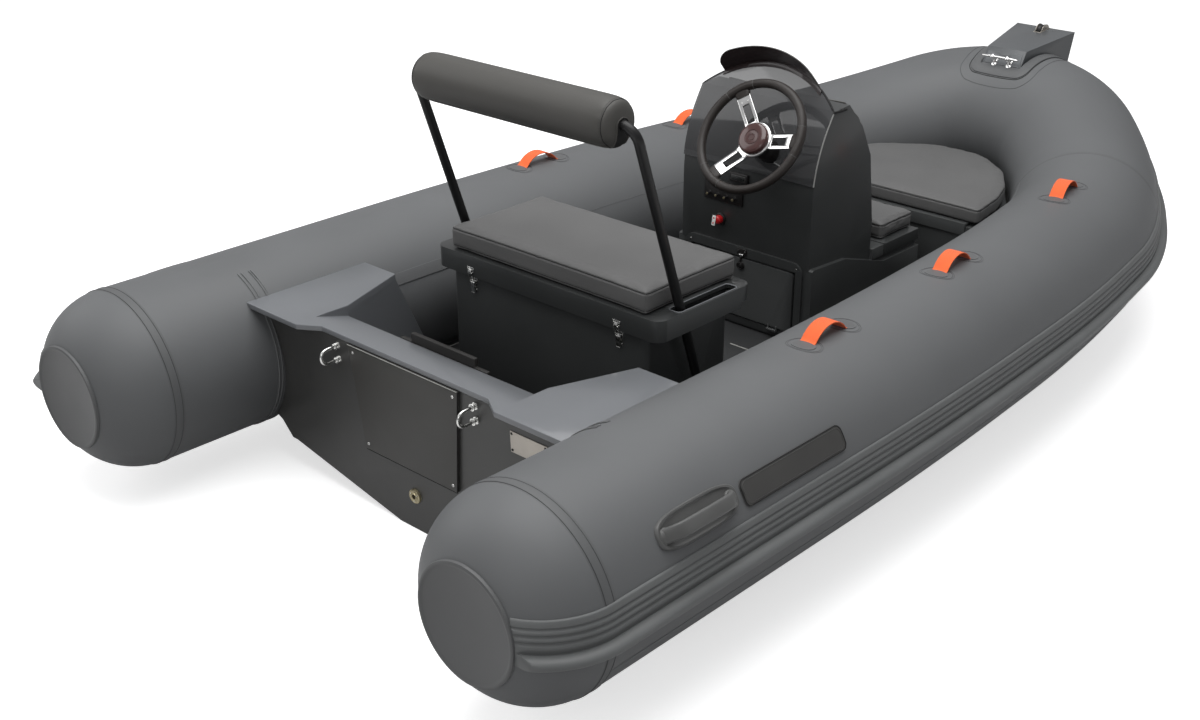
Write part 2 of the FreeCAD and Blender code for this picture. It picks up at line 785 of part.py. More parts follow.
def closed(edges, start, end, between):
    """A face bounded by edges and a chain of straight lines from their end back to their start."""
    pts = [end] + [V(0, y, z) for y, z in between] + [start]
    back = [Part.LineSegment(pts[i], pts[i + 1]).toShape() for i in range(len(pts) - 1)]
    return Part.Face(Part.Wire(edges + back))


def console_block(inset, low, x0, x1):
    """The console without its seat, drawn in by a wall thickness."""
    edges, start, end = dash_line(dash_r - inset, con_top_z - inset)
    far = (con_seat_s - inset, low)
    chain = [
        (con_crown_s - inset / 2.0, con_crown_z - inset), (con_brow_s - inset, con_brow_z - inset / 2.0),
        (con_back_s - inset, con_back_z), (con_seat_s - inset, pad_low_z), far, (con_s + inset, low),
    ]
    block = closed(edges, start, end, chain).extrude(V(x1 - x0, 0, 0))
    block.translate(V(x0, 0, 0))
    return block


w = con_wall
con = console_block(0.0, sole_top, -con_half, con_half)
seat2_top_lid = seat2_top + lid_gap + seat2_lid_t
con_base = box(-con_half, con_half, con_seat_s - 1.0, seat2_front, sole_top, seat2_top)
ledge_half = con_half + seat2_skirt_gap + seat2_skirt_t
ledge = box(-ledge_half, ledge_half, con_seat_s - 1.0, seat2_ledge_s, seat2_top_lid - seat2_skirt,
            seat2_top_lid)
plinth_s = (con_s, con_s + 8.0, con_s + 160.0, seat2_ledge_s, seat2_front)
plinth_h = (plinth_z, plinth_z + 4.0, plinth_z - 5.0, plinth_z - plinth_fall, plinth_z - plinth_fall)
plinth = prism_x([(con_s, sole_top)] + list(zip(plinth_s, plinth_h)) + [(seat2_front, sole_top)],
                 -con_half - plinth_t, con_half + plinth_t)
con = fuse([con, con_base, ledge, plinth])
con = con.cut(console_block(w, sole_top - 1.0, -con_half + w, con_half - w))
seat2_room = box(-con_half + w, con_half - w, con_seat_s, seat2_front - w, sole_top - 1.0, seat2_top - w)
lid2_hole = box(-con_half + 30.0, con_half - 30.0, seat2_lid_s + 20.0, seat2_front - 30.0,
                seat2_top - w - 1.0, seat2_top + 1.0)
hatch_hole = box(-hatch_half, hatch_half, con_s - 1.0, con_s + w + 1.0, hatch_low, hatch_top)
hatch_hole = round_edges(hatch_hole, 5.0, (0, 1, 0))
con = cut(con, [seat2_room, hatch_hole, lid2_hole])

ring = box(-frame_half, frame_half, con_s - frame_t, con_s, frame_low, frame_top)
ring = round_edges(ring, frame_corner, (0, 1, 0))
ring = ring.cut(box(-hatch_half, hatch_half, con_s - frame_t - 1.0, con_s + 1.0, hatch_low, hatch_top))
door_y = con_s - frame_t
door_axis_z = hatch_low - 4.0
door_pin_r = 2.5
door_axis_y = door_y - 7.0
door_xs = (-120.0, 120.0)
door_lugs = hinge_lugs(door_xs, door_axis_y, door_axis_z, door_y, door_axis_z, door_pin_r, 20.0)
pieces["hatch_frame"] = fuse([ring] + door_lugs)
door = box(-hatch_half + door_gap, hatch_half - door_gap, door_y - 4.0, door_y + door_t - 4.0,
           hatch_low + door_gap, hatch_top - door_gap)
door = round_edges(door, 14.0, (0, 1, 0))
door_ears = hinge_ears(door_xs, door_axis_y, door_axis_z, door_y - 2.0, hatch_low + door_gap + 6.0,
                       door_pin_r, 20.0)
pieces["hatch_door"] = fuse([door] + door_ears)
latch = box(-12.0, 12.0, door_y - 8.0, door_y, hatch_top + 6.0, hatch_top + 24.0)
pieces["hatch_latch"] = latch

# Windscreen: a curved sheet on the dash, arched at the top, with its visor
arch_low = screen_top_z - screen_arch_r


def screen_line(rho, z):
    """Station of the sloping sheet at a height above the curved part."""
    y1, z1 = dash_point(rho, dash_lean)
    return y1 + (z - z1) * math.tan(lean_in)


screen_in = dash_r + skin_gap
screen_out = screen_in + screen_t
inner, i0, i1 = dash_line(screen_in, screen_top_z + 20.0)
outer_w, o0, o1 = dash_line(screen_out, screen_top_z + 20.0)
sheet_ends = [Part.LineSegment(i1, o1).toShape(), Part.LineSegment(o0, i0).toShape()]
sheet = Part.Face(Part.Wire(Part.__sortEdges__(inner + sheet_ends + outer_w))).extrude(V(2 * con_half, 0, 0))
sheet.translate(V(-con_half, 0, 0))
arch = rod((0, con_s - 50.0, arch_low), (0, 1, 0), screen_arch_r, 300.0)
band = box(-con_half, con_half, con_s - 50.0, con_s + 250.0, screen_low_z, screen_top_z + 1.0)
pieces["windscreen"] = sheet.common(arch).common(band)

down_screen = V(0, sin(lean_in), cos(lean_in))
off_screen = V(0, -cos(lean_in), sin(lean_in))
visor_way = V(0, -sin(rad(visor_lean)), cos(rad(visor_lean)))
visor_up = V(0, cos(rad(visor_lean)), sin(rad(visor_lean)))
visor_cuts = 14
root_rings = []
visor_rings = []
for i in range(visor_cuts + 1):
    x = visor_half * (2.0 * i / visor_cuts - 1.0)
    z = arch_low + math.sqrt(screen_arch_r ** 2 - x * x)
    c = V(x, screen_line(screen_out, z), z)
    a = c.add(V(off_screen).multiply(skin_gap))
    e = min(1.0, (visor_half + 1.0 - abs(x)) / 40.0)
    reach = visor_reach * (0.35 + 0.65 * math.sqrt(1.0 - (1.0 - e) ** 2))
    low = a.sub(V(down_screen).multiply(visor_lap))
    high = a.add(V(down_screen).multiply(4.0))
    out_t = V(off_screen).multiply(visor_t)
    root_rings.append(Part.makePolygon([low, high, high.add(out_t), low.add(out_t), low]))
    tip = a.add(V(visor_way).multiply(reach))
    up_t = V(visor_up).multiply(visor_t)
    visor_rings.append(Part.makePolygon([a, tip, tip.add(up_t), a.add(up_t), a]))
visor = fuse([Part.makeLoft(root_rings, True, True), Part.makeLoft(visor_rings, True, True)])
pieces["windscreen_visor"] = visor

# Switch panel with its toggles, and the kill switch on the after face
sw = box(-143.0, -8.0, con_s - 5.0, con_s, dash_low_z - 59.0, dash_low_z)
toggles = []
for i in range(4):
    toggles.append(rod((-124.0 + 30.0 * i, con_s - 16.0, dash_low_z - 42.0), (0, 1, 0), 4.0, 12.0))
pieces["switch_panel"] = fuse([sw] + toggles)
kill = rod((-84.0, con_s - 8.0, dash_low_z - 112.0), (0, 1, 0), 16.0, 8.0)
kill = fuse([kill, rod((-84.0, con_s - 24.0, dash_low_z - 112.0), (0, 1, 0), 12.0, 16.0)])
pieces["kill_switch"] = kill

# Steering: a helm boss on the dash and the wheel on its shaft
t = rad(wheel_tilt)
way = (0.0, -cos(t), sin(t))
hub_at = V(wheel_x, wheel_s, wheel_z)


def along(d, base=hub_at):
    return base.add(V(way[0] * d, way[1] * d, way[2] * d))


def to_dash(rho):
    """Distance from the hub down the shaft to a circle round the dash centre."""
    run = wheel_s - dash_s
    rise = wheel_z - dash_low_z
    b = run * cos(t) - rise * sin(t)
    return -b - math.sqrt(b * b - run * run - rise * rise + rho * rho)


shaft_len = to_dash(dash_r)
boss_len = shaft_len - hub_t - 8.0 - wheel_dish
base = along(-shaft_len)
column = Part.makeCylinder(column_r, boss_len, base, V(*way))
stub = Part.makeCylinder(shaft_r, hub_t + 10.0, along(-shaft_len + boss_len - 1.0), V(*way))
behind = rod((-con_half, dash_s, dash_low_z), (1, 0, 0), screen_out + skin_gap, 2 * con_half)
pieces["helm_column"] = fuse([column, stub]).cut(behind)


def wheel_local(shape):
    """Shapes drawn flat round the origin, facing +Z, set on the shaft."""
    out = shape.copy()
    out.rotate(V(0, 0, 0), V(1, 0, 0), 90.0 - wheel_tilt)
    out.translate(hub_at)
    return out


rim = Part.makeTorus(wheel_r, rim_r)
d = wheel_dish
spokes = [Part.makeCylinder(hub_r + 4.0, spoke_t, V(0, 0, -d - spoke_t / 2))]
spoke_end = wheel_r - rim_r + 4.0
for a in spoke_angles:
    arm = face([
        (hub_r - 6.0, -spoke_w / 2, -d - spoke_t / 2), (hub_r + 14.0, -spoke_w / 2, -d - spoke_t / 2),
        (spoke_end, -spoke_w / 2, -spoke_t / 2), (spoke_end, -spoke_w / 2, spoke_t / 2),
        (hub_r + 14.0, -spoke_w / 2, -d + spoke_t / 2), (hub_r - 6.0, -spoke_w / 2, -d + spoke_t / 2),
    ]).extrude(V(0, spoke_w, 0))
    arm = arm.cut(box(hub_r + 9.0, wheel_r - rim_r - 34.0, -spoke_slot_w / 2, spoke_slot_w / 2,
                      -d - spoke_t, spoke_t))
    arm.rotate(V(0, 0, 0), V(0, 0, 1), a)
    spokes.append(arm)
spoke = fuse(spokes)
hub = Part.makeCylinder(hub_r, hub_t - 8.0, V(0, 0, -d + spoke_t / 2))
hub_edges = [e for e in hub.Edges if e.Curve.TypeId == "Part::GeomCircle" and e.CenterOfMass.z > -d + 10.0]
hub = hub.makeFillet(5.0, hub_edges)
sleeve = Part.makeCylinder(shaft_r + 10.0, 16.0, V(0, 0, -d - spoke_t / 2 - 16.0))
socket = Part.makeCylinder(shaft_r + shaft_gap, 16.0 + spoke_t, V(0, 0, -d - spoke_t / 2 - 17.0))
rim = rim.cut(spoke)
spoke = spoke.fuse(sleeve).cut(socket)
pieces["wheel_rim"] = wheel_local(rim)
pieces["wheel_spokes"] = wheel_local(spoke)
pieces["wheel_hub"] = wheel_local(hub)

# Grab rail on the port side of the console
rail_x = -con_half - grab_out
rail_edges, _ = arc_path([
    (-con_half - 0.2, grab_low_s, grab_low_z), (rail_x, grab_low_s, grab_low_z), (rail_x, grab_low_s + 5.0,
                                                                                  grab_knee_z),
    (rail_x, grab_top_s, grab_top_z), (-con_half - 0.2, grab_top_s, grab_top_z),
], radii=[20.0, 60.0, 20.0])
pieces["grab_rail"] = pipe(rail_edges, 9.0)

# Front seat: lid hinged along its forward edge, cushion, and pad on the console
lid2 = box(-ledge_half, ledge_half, seat2_lid_s, seat2_front, seat2_top_lid - seat2_skirt, seat2_top_lid)
lid2 = round_edges(lid2, 5.0, (0, 0, 1))
lid2 = lid2.cut(box(-ledge_half + seat2_skirt_t, ledge_half - seat2_skirt_t, seat2_lid_s - 1.0,
                    seat2_front + 1.0,
                    seat2_top_lid - seat2_skirt - 1.0, seat2_top + lid_gap))
lid2_axis_s = seat2_front + 8.0
lid2_axis_z = seat2_top - 6.0
lid2_xs = (-110.0, 110.0)
con_lugs = hinge_lugs(lid2_xs, lid2_axis_s, lid2_axis_z, seat2_front, lid2_axis_z, 2.5, 20.0)
lid2_ears = []
for x in lid2_xs:
    for k in (-1, 1):
        x0 = x + k * 11.0 - (0.0 if k > 0 else 5.0)
        ear = rod((x0, lid2_axis_s, lid2_axis_z), (1, 0, 0), 5.5, 5.0)
        web = box(x0, x0 + 5.0, lid2_axis_s - 3.0, lid2_axis_s + 3.0, lid2_axis_z, seat2_top_lid)
        top = box(x0, x0 + 5.0, seat2_front - 8.0, lid2_axis_s + 3.0, seat2_top + lid_gap + 3.0,
                  seat2_top_lid)
        hole = rod((x0 - 1.0, lid2_axis_s, lid2_axis_z), (1, 0, 0), 2.8, 7.0)
        lid2_ears.append(fuse([ear, web, top]).cut(hole))
pieces["console"] = fuse([con] + con_lugs)
pieces["front_seat_lid"] = fuse([lid2] + lid2_ears)
cush2_z = seat2_top_lid + cush_gap
cush2 = box(-con_half + 6.0, con_half - 6.0, seat2_cush_s, seat2_front + 4.0, cush2_z, cush2_z + seat2_cush_t)
pieces["front_seat_cushion"] = round_edges(cush2, 20.0, (0, 0, 1))
backpad = prism_x([
    (con_crown_s + 10.0, con_crown_z + 4.0), (con_crown_s + g, con_crown_z + g),
    (con_brow_s + g, con_brow_z + g), (con_back_s + g, con_back_z + g), (con_seat_s + g, pad_low_z),
    (con_seat_s + g, seat2_top_lid + g), (con_seat_s + backpad_t, seat2_top_lid + g),
    (con_seat_s + backpad_t, pad_low_z + 7.0), (con_back_s + backpad_t, con_back_z + 8.0),
    (con_brow_s + backpad_t - 4.0, con_brow_z + 16.0),
], -backpad_half, backpad_half)
pieces["console_back_pad"] = backpad

# Bow locker, its lid with a turned-down lip, and the cushion
bow_shape = [
    (tube_half - 317.0, 0.0), (tube_half - 332.0, 160.0), (tube_half - 376.0, 268.0),
    (tube_half - 456.0, 402.0), (tube_half - 603.0, 523.0),
]


def bow_ring(inset, z, cap=9999.0):
    """Outline of the bow seat drawn in by an inset, and held clear of the tubes at a height."""
    pts = []
    for x, y in bow_shape:
        s = bowbox_s + y - (inset if y > 300.0 else 0.0)
        pts.append((min(x - inset, cap, tube_inside(s, z) - bow_clear_gap - inset / 4.0), s))
    return pts + [(-x, y) for x, y in reversed(pts)]


locker = prism_z(bow_ring(8.0, bowbox_top), sole_z - 20.0, bowbox_top)
room = prism_z([(x, y + bowbox_wall * (1 if y < bowbox_s + 1 else 0)) for x,
                y in bow_ring(8.0 + bowbox_wall, tube_z)],
               sole_top + 60.0, bowbox_top - bowbox_wall)
mouth = prism_z([(x, y + 30.0 * (1 if y < bowbox_s + 1 else 0)) for x, y in bow_ring(60.0, tube_z, 300.0)],
                bowbox_top - bowbox_wall - 1.0, bowbox_top + 1.0)
locker = cut(locker, [hull, sole] + side_clears + [bow_clear])
locker = max(locker.Solids, key=lambda q: q.Volume)
locker = cut(locker, [room, mouth])
bow_end = max(y for x, y in bow_ring(8.0, bowbox_top))
bow_axis_s = bow_end + bow_hinge_out
bow_axis_z = bowbox_top - 6.0
bow_xs = (-60.0, 60.0)
bow_lugs = hinge_lugs(bow_xs, bow_axis_s, bow_axis_z, bow_end, bow_axis_z, 2.5, 16.0)
pieces["bow_locker"] = fuse([locker] + bow_lugs)
lid3_z = bowbox_top + lid_gap
lid3 = prism_z(bow_ring(40.0, lid3_z, bowlid_half), lid3_z, lid3_z + bowlid_t)
tongues = []
for x in bow_xs:
    tongues.append(box(x - 14.0, x + 14.0, bow_end - 60.0, bow_axis_s + 5.0, lid3_z, lid3_z + bowlid_t))
tongues += hinge_ears(bow_xs, bow_axis_s, bow_axis_z, bow_axis_s, lid3_z + 1.0, 2.5, 16.0)
lip = box(-bowlid_half, bowlid_half, bowbox_s - 7.0, bowbox_s - 1.0, lid3_z + bowlid_t - bowlid_lip,
          lid3_z + bowlid_t)
lip2 = box(-bowlid_half, bowlid_half, bowbox_s - 7.0, bowbox_s + 2.0, lid3_z, lid3_z + bowlid_t)
pieces["bow_locker_lid"] = fuse([lid3, lip, lip2] + tongues)
cush3_z = lid3_z + bowlid_t + cush_gap
cush3 = prism_z(bow_ring(bowcush_in, cush3_z), cush3_z, cush3_z + bowcush_t)
cush3 = round_edges(cush3, bowcush_round, (0, 0, 1), bowbox_s + 1.0)
pieces["bow_cushion"] = round_edges(cush3, bowcush_corner, (0, 0, 1), -9999.0, bowbox_s + 1.0)
pieces["bow_latch"] = box(-11.0, 11.0, bowbox_s - 9.0, bowbox_s - 0.5, lid3_z + bowlid_t - bowlid_lip - 26.0,
                          lid3_z + bowlid_t - bowlid_lip - 4.0)

# Bow step on the bow tube, with the roller in its slot and the cleat behind
step_side = [
    (step_rear_s - 30.0, step_foot_z), (step_rear_s, step_rear_z), (step_top_s, step_top_z),
    (step_front_s, step_front_z), (step_foot_s, step_foot_z),
]
step = prism_x(step_side, -step_front_half, step_front_half)
taper = prism_z([
    (-step_rear_half, step_rear_s - 60.0), (step_rear_half, step_rear_s - 60.0), (step_rear_half, step_top_s),
    (step_front_half, step_front_s), (step_front_half, step_front_s + 20.0), (-step_front_half,
                                                                              step_front_s + 20.0),
    (-step_front_half, step_front_s), (-step_rear_half, step_top_s),
], 500.0, 800.0)
step = step.common(taper)
step = step.cut(bow_clear)
step = max(step.Solids, key=lambda q: q.Volume)
slope = (step_front_z - step_top_z) / (step_front_s - step_top_s)
roller_z = step_top_z + (roller_s - step_top_s) * slope + roller_rise - 8.0
well = box(-roller_slot_half, roller_slot_half, roller_s - roller_r - 12.0, step_front_s + 1.0,
           roller_z - roller_r - 6.0, step_front_z + 10.0)
pin_hole = rod((-40.0, roller_s, roller_z), (1, 0, 0), roller_pin_r, 80.0)
step = step.cut(well)
pieces["bow_step"] = fuse([step, pin_hole])
roller = rod((-roller_w / 2, roller_s, roller_z), (1, 0, 0), roller_r, roller_w)
roller = roller.cut(rod((-roller_w, roller_s, roller_z), (1, 0, 0), roller_pin_r + 0.3, roller_w * 2))
pieces["bow_roller"] = roller

rear_run = math.hypot(step_top_s - step_rear_s, step_top_z - step_rear_z)
rear_out = V(0, -(step_top_z - step_rear_z) / rear_run, (step_top_s - step_rear_s) / rear_run)
cleat_s = step_rear_s + (cleat_z - step_rear_z) * (step_top_s - step_rear_s) / (step_top_z - step_rear_z)
cleat = []
for k in (-1, 1):
    foot = V(k * cleat_post_x, cleat_s, cleat_z).add(V(rear_out).multiply(skin_gap))
    cleat.append(Part.makeCylinder(cleat_r - 0.5, cleat_out, foot, rear_out))
    cleat.append(Part.makeCylinder(cleat_r * 2.0, 3.0, foot, rear_out))
bar_at = V(-cleat_half, cleat_s, cleat_z).add(V(rear_out).multiply(cleat_out))
cleat.append(Part.makeCylinder(cleat_r, cleat_half * 2, bar_at, V(1, 0, 0)))
pieces["mooring_cleat"] = fuse(cleat)

# Lifting straps: webbing arches on top of the tubes
straps = []
for s in strap_star + strap_port:
    x, z = tube_at(s)
    ahead = tube_at(s + 60.0)
    behind = tube_at(s - 60.0)
    yaw = math.degrees(math.atan2(behind[0] - ahead[0], 120.0))
    h = strap_len / 2.0
    r = (h * h + strap_rise * strap_rise) / (2.0 * strap_rise)
    a = V(0, -h, 0)
    b = V(0, 0, strap_rise)
    c = V(0, h, 0)
    lower = Part.Arc(a, b, c).toShape()
    upper = Part.Arc(V(0, h + strap_t, 0), V(0, 0, strap_rise + strap_t), V(0, -h - strap_t, 0)).toShape()
    wire = Part.Wire([lower, Part.LineSegment(c, V(0, h + strap_t, 0)).toShape(), upper,
                      Part.LineSegment(V(0, -h - strap_t, 0), a).toShape()])
    arc = Part.Face(wire).extrude(V(strap_w, 0, 0))
    arc.translate(V(-strap_w / 2, 0, 0))
    arc.rotate(V(0, 0, 0), V(0, 0, 1), yaw)
    arc.translate(V(x, s, z + tube_r + skin_gap))
    straps.append(arc if s in strap_star else mirror(arc))
pieces["lifting_straps"] = Part.makeCompound(straps)

# Carrying handles and side plates on the outside of the tubes
ha = rad(handle_angle)
base_r = tube_r + handle_t
hs = rod((tube_half, handle_s - handle_len / 2, tube_z), (0, 1, 0), base_r, handle_len)
hs = hs.cut(rod((tube_half, handle_s - handle_len, tube_z), (0, 1, 0), tube_r + skin_gap, handle_len * 2))
keep = box(tube_r - 60.0, tube_r + 60.0, handle_s - handle_len / 2, handle_s + handle_len / 2,
           -handle_w / 2, handle_w / 2)
keep = turn(keep, (0, 0, 0), (0, 1, 0), -handle_angle)
keep.translate(V(tube_half, 0, tube_z))
base_h = hs.common(keep)
grip_edges, _ = arc_path([
    (tube_r + handle_t - 4.0, handle_s - 85.0, 0.0), (tube_r + handle_t + handle_rise - 10.0,
                                                      handle_s - 60.0, 0.0),
    (tube_r + handle_t + handle_rise - 10.0, handle_s + 60.0, 0.0), (tube_r + handle_t - 4.0,
                                                                     handle_s + 85.0, 0.0),
], radii=[18.0, 18.0])
grip = pipe(grip_edges, 9.0)
grip = turn(grip, (0, 0, 0), (0, 1, 0), -handle_angle)
grip.translate(V(tube_half, 0, tube_z))
pieces["carry_handles"] = both(fuse([base_h, grip]))

ps = rod((tube_half, plate2_s - plate2_len / 2, tube_z), (0, 1, 0), tube_r + plate2_t + skin_gap, plate2_len)
ps = ps.cut(rod((tube_half, plate2_s - plate2_len, tube_z), (0, 1, 0), tube_r + skin_gap, plate2_len * 2))
side_w = 2.0 * tube_r * sin(rad(plate2_span / 2.0))
keep = box(tube_r - 60.0, tube_r + 60.0, plate2_s - plate2_len / 2, plate2_s + plate2_len / 2, -side_w / 2,
           side_w / 2)
keep = turn(keep, (0, 0, 0), (0, 1, 0), -plate2_angle)
keep.translate(V(tube_half, 0, tube_z))
pieces["side_plates"] = both(ps.common(keep))

# Centre the model on its own length and write one file for each piece
bow_front = bow_s + tube_r + strake_nose_t
y_mid = (bow_front - disc_t) / 2.0
for name, shape in pieces.items():
    out = shape.copy()
    out.translate(V(0, -y_mid, 0))
    bad = [q.Volume for q in out.Solids if q.Volume <= 0 or not q.isValid()]
    print(name, len(out.Solids), round(out.Volume / 1e6, 3), "BAD" if bad or not out.Solids else "")
    out.exportStep("parts/" + name + ".step")
print("mid", y_mid, "sole", sole_top)
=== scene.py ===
import bpy
import bmesh
import json
import math
import numpy as np
from mathutils import Matrix, Vector
from mathutils.bvhtree import BVHTree
from mathutils.kdtree import KDTree


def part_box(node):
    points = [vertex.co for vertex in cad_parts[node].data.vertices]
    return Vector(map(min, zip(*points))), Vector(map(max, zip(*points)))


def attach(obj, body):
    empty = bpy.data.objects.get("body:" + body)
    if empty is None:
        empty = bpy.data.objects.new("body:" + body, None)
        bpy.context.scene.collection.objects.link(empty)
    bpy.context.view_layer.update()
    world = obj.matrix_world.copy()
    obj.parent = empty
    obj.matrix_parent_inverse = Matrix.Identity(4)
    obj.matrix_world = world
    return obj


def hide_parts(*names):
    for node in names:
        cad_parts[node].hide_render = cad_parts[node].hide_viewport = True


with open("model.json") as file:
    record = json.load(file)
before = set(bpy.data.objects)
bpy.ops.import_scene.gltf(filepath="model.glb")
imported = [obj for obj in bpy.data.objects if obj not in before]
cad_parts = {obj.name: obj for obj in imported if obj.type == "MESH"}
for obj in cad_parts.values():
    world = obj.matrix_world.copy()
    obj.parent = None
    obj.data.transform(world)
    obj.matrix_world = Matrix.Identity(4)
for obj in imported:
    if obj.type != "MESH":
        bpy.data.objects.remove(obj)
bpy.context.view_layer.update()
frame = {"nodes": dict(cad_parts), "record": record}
NODES = frame["nodes"]
MID = 1.7185  # station of the frame's middle, in metres
PI = math.pi


def P(x, s, z):
    """A point from millimetres: half-breadth, station from the stern, height."""
    return Vector((x / 1000.0, s / 1000.0 - MID, z / 1000.0))


# Materials
def nodes_of(mat):
    """A material's main shader, its nodes and its links."""
    nt = mat.node_tree
    return nt.nodes["Principled BSDF"], nt.nodes, nt.links


def put(nodes, kind, **values):
    """A new shader node with input values set. An underscore in a name stands for a space."""
    node = nodes.new("ShaderNode" + kind)
    for key, value in values.items():
        node.inputs[key.replace("_", " ")].default_value = value
    return node


def blend(nodes, links, factor, first, second):
    """A colour that goes from one socket's colour to a fixed one by a factor."""
    mix = nodes.new("ShaderNodeMix")
    mix.data_type = "RGBA"
    links.new(factor, mix.inputs["Factor"])
    links.new(first, mix.inputs["A"])
    mix.inputs["B"].default_value = (*second, 1)
    return mix.outputs["Result"]


def material(name, color, rough=0.5, metal=0.0, vary=0.08, vary_scale=6.0, rough_vary=0.06,
             bump="noise", bump_scale=400.0, bump_dist=0.0002, coat=0.0, coat_rough=0.1, sheen=0.0,
             spec=0.5, edge=0.0, alpha=1.0):
    """A procedural finish: slow colour and gloss changes, fine relief and a painted highlight on sharp edges.
    """
    mat = bpy.data.materials.new(name)
    mat.use_nodes = True
    bsdf, nodes, links = nodes_of(mat)
    for key, value in (("Metallic", metal), ("Coat Weight", coat), ("Coat Roughness", coat_rough),
                       ("Sheen Weight", sheen), ("Sheen Roughness", 0.5), ("Specular IOR Level", spec),
                       ("IOR", 1.45), ("Alpha", alpha)):
        bsdf.inputs[key].default_value = value
    where = nodes.new("ShaderNodeTexCoord").outputs["Object"]
    slow = put(nodes, "TexNoise", Scale=vary_scale, Detail=5.0)
    links.new(where, slow.inputs["Vector"])
    ramp = nodes.new("ShaderNodeValToRGB")
    for stop, at, share in zip(ramp.color_ramp.elements, (0.3, 0.7), (1.0 - vary, 1.0 + vary)):
        stop.position = at
        stop.color = (*(Vector(color) * share), 1)
    links.new(slow.outputs["Fac"], ramp.inputs["Fac"])
    out = ramp.outputs["Color"]
    # an edge value above nought paints a pale highlight on sharp edges, found by pointiness
    if edge > 0.0:
        geo = nodes.new("ShaderNodeNewGeometry")
        painted_edge_highlight = put(nodes, "MapRange", From_Min=0.52, From_Max=0.62, To_Max=edge)
        links.new(geo.outputs["Pointiness"], painted_edge_highlight.inputs["Value"])
        highlight_color = [min(1.0, v * 2.2 + 0.05) for v in color]
        out = blend(nodes, links, painted_edge_highlight.outputs["Result"], out, highlight_color)
    links.new(out, bsdf.inputs["Base Color"])
    gloss = put(nodes, "MapRange", From_Min=0.3, From_Max=0.7, To_Min=max(0.02, rough - rough_vary),
                To_Max=min(1.0, rough + rough_vary))
    links.new(slow.outputs["Fac"], gloss.inputs["Value"])
    links.new(gloss.outputs["Result"], bsdf.inputs["Roughness"])
    if bump is None:
        return mat
    if bump == "grain":
        tex = put(nodes, "TexVoronoi", Scale=bump_scale)
    else:
        tex = put(nodes, "TexNoise", Scale=bump_scale, Detail=2.0 if bump == "brush" else 4.0)
    if bump == "brush":
        along = put(nodes, "Mapping", Scale=(1.0, 1.0, 0.04))
        links.new(where, along.inputs["Vector"])
        where = along.outputs["Vector"]
    links.new(where, tex.inputs["Vector"])
    node = put(nodes, "Bump", Strength=0.6, Distance=bump_dist)
    links.new(tex.outputs["Distance" if bump == "grain" else "Fac"], node.inputs["Height"])
    links.new(node.outputs["Normal"], bsdf.inputs["Normal"])
    return mat


# An edge value paints a pale highlight on a finish's sharp edges.
M = {}
M["pvc"] = material("coated_fabric", (0.122, 0.126, 0.129), 0.52, vary=0.05, vary_scale=3.0,
                    bump_scale=900.0, bump_dist=0.00012, spec=0.4)
M["patch"] = material("coated_fabric_patch", (0.108, 0.111, 0.113), 0.52, vary=0.05, bump_scale=900.0,
                      bump_dist=0.00012, spec=0.4, edge=0.25)
M["disc"] = material("end_cap", (0.105, 0.107, 0.108), 0.5, vary=0.06, bump_scale=700.0, bump_dist=0.00015,
                     spec=0.4)
M["strake"] = material("strake_rubber", (0.125, 0.130, 0.130), 0.48, vary=0.08, vary_scale=9.0,
                       bump_scale=500.0, bump_dist=0.0002, spec=0.45)
M["gel_dark"] = material("gelcoat_dark", (0.034, 0.036, 0.036), 0.34, vary=0.05, bump_scale=120.0,
                         bump_dist=0.00006, coat=0.25, coat_rough=0.15, edge=0.35)
M["gel_grey"] = material("gelcoat_grey", (0.155, 0.162, 0.172), 0.35, vary=0.04, rough_vary=0.05,
                         bump_scale=120.0, bump_dist=0.00006, coat=0.3, coat_rough=0.12)
M["transom"] = material("gelcoat_transom", (0.050, 0.050, 0.048), 0.42, vary=0.06, bump_scale=140.0,
                        bump_dist=0.00008, coat=0.1, coat_rough=0.3)
M["sole"] = material("sole_tread", (0.026, 0.027, 0.028), 0.62, vary=0.12, bump="grain", bump_scale=260.0,
                     bump_dist=0.0005)
M["plate"] = material("engine_plate", (0.037, 0.036, 0.033), 0.45, vary=0.07, bump_scale=600.0,
                      bump_dist=0.00015, edge=0.4)
M["pad"] = material("engine_pad", (0.012, 0.011, 0.010), 0.5, vary=0.2, bump_scale=350.0, bump_dist=0.0003)
M["steel"] = material("stainless", (0.72, 0.72, 0.70), 0.2, metal=1.0, vary=0.05, vary_scale=30.0,
                      rough_vary=0.07, bump="brush", bump_scale=900.0, bump_dist=0.00003)
M["polished"] = material("polished_spokes", (0.93, 0.93, 0.92), 0.14, metal=1.0, vary=0.03, vary_scale=20.0,
                         rough_vary=0.05, bump="brush", bump_scale=700.0, bump_dist=0.00002)
M["beige"] = material("bare_plate", (0.40, 0.37, 0.33), 0.35, metal=0.7, vary=0.08, vary_scale=25.0,
                      bump="brush", bump_scale=800.0, bump_dist=0.00005)
M["vinyl"] = material("vinyl", (0.108, 0.108, 0.107), 0.5, vary=0.05, vary_scale=8.0, bump="grain",
                      bump_scale=520.0, bump_dist=0.00028, spec=0.42, sheen=0.05)
# the same vinyl in the darker, browner tone of its shaded sides: painted shade, for the bolster and the
# console's back pad
M["vinyl_dark"] = material("vinyl_painted_shade", (0.068, 0.066, 0.061), 0.52, vary=0.06, vary_scale=8.0,
                           bump="grain", bump_scale=520.0, bump_dist=0.00028, spec=0.4)
M["thread"] = material("thread", (0.09, 0.09, 0.088), 0.7, bump_scale=1500.0, bump_dist=0.0002)
M["black"] = material("black_coat", (0.0042, 0.0042, 0.0045), 0.42, vary=0.1, bump_scale=500.0,
                      bump_dist=0.00005)
M["black_plastic"] = material("black_plastic", (0.010, 0.009, 0.009), 0.45, vary=0.12, bump_scale=700.0,
                              bump_dist=0.00012)
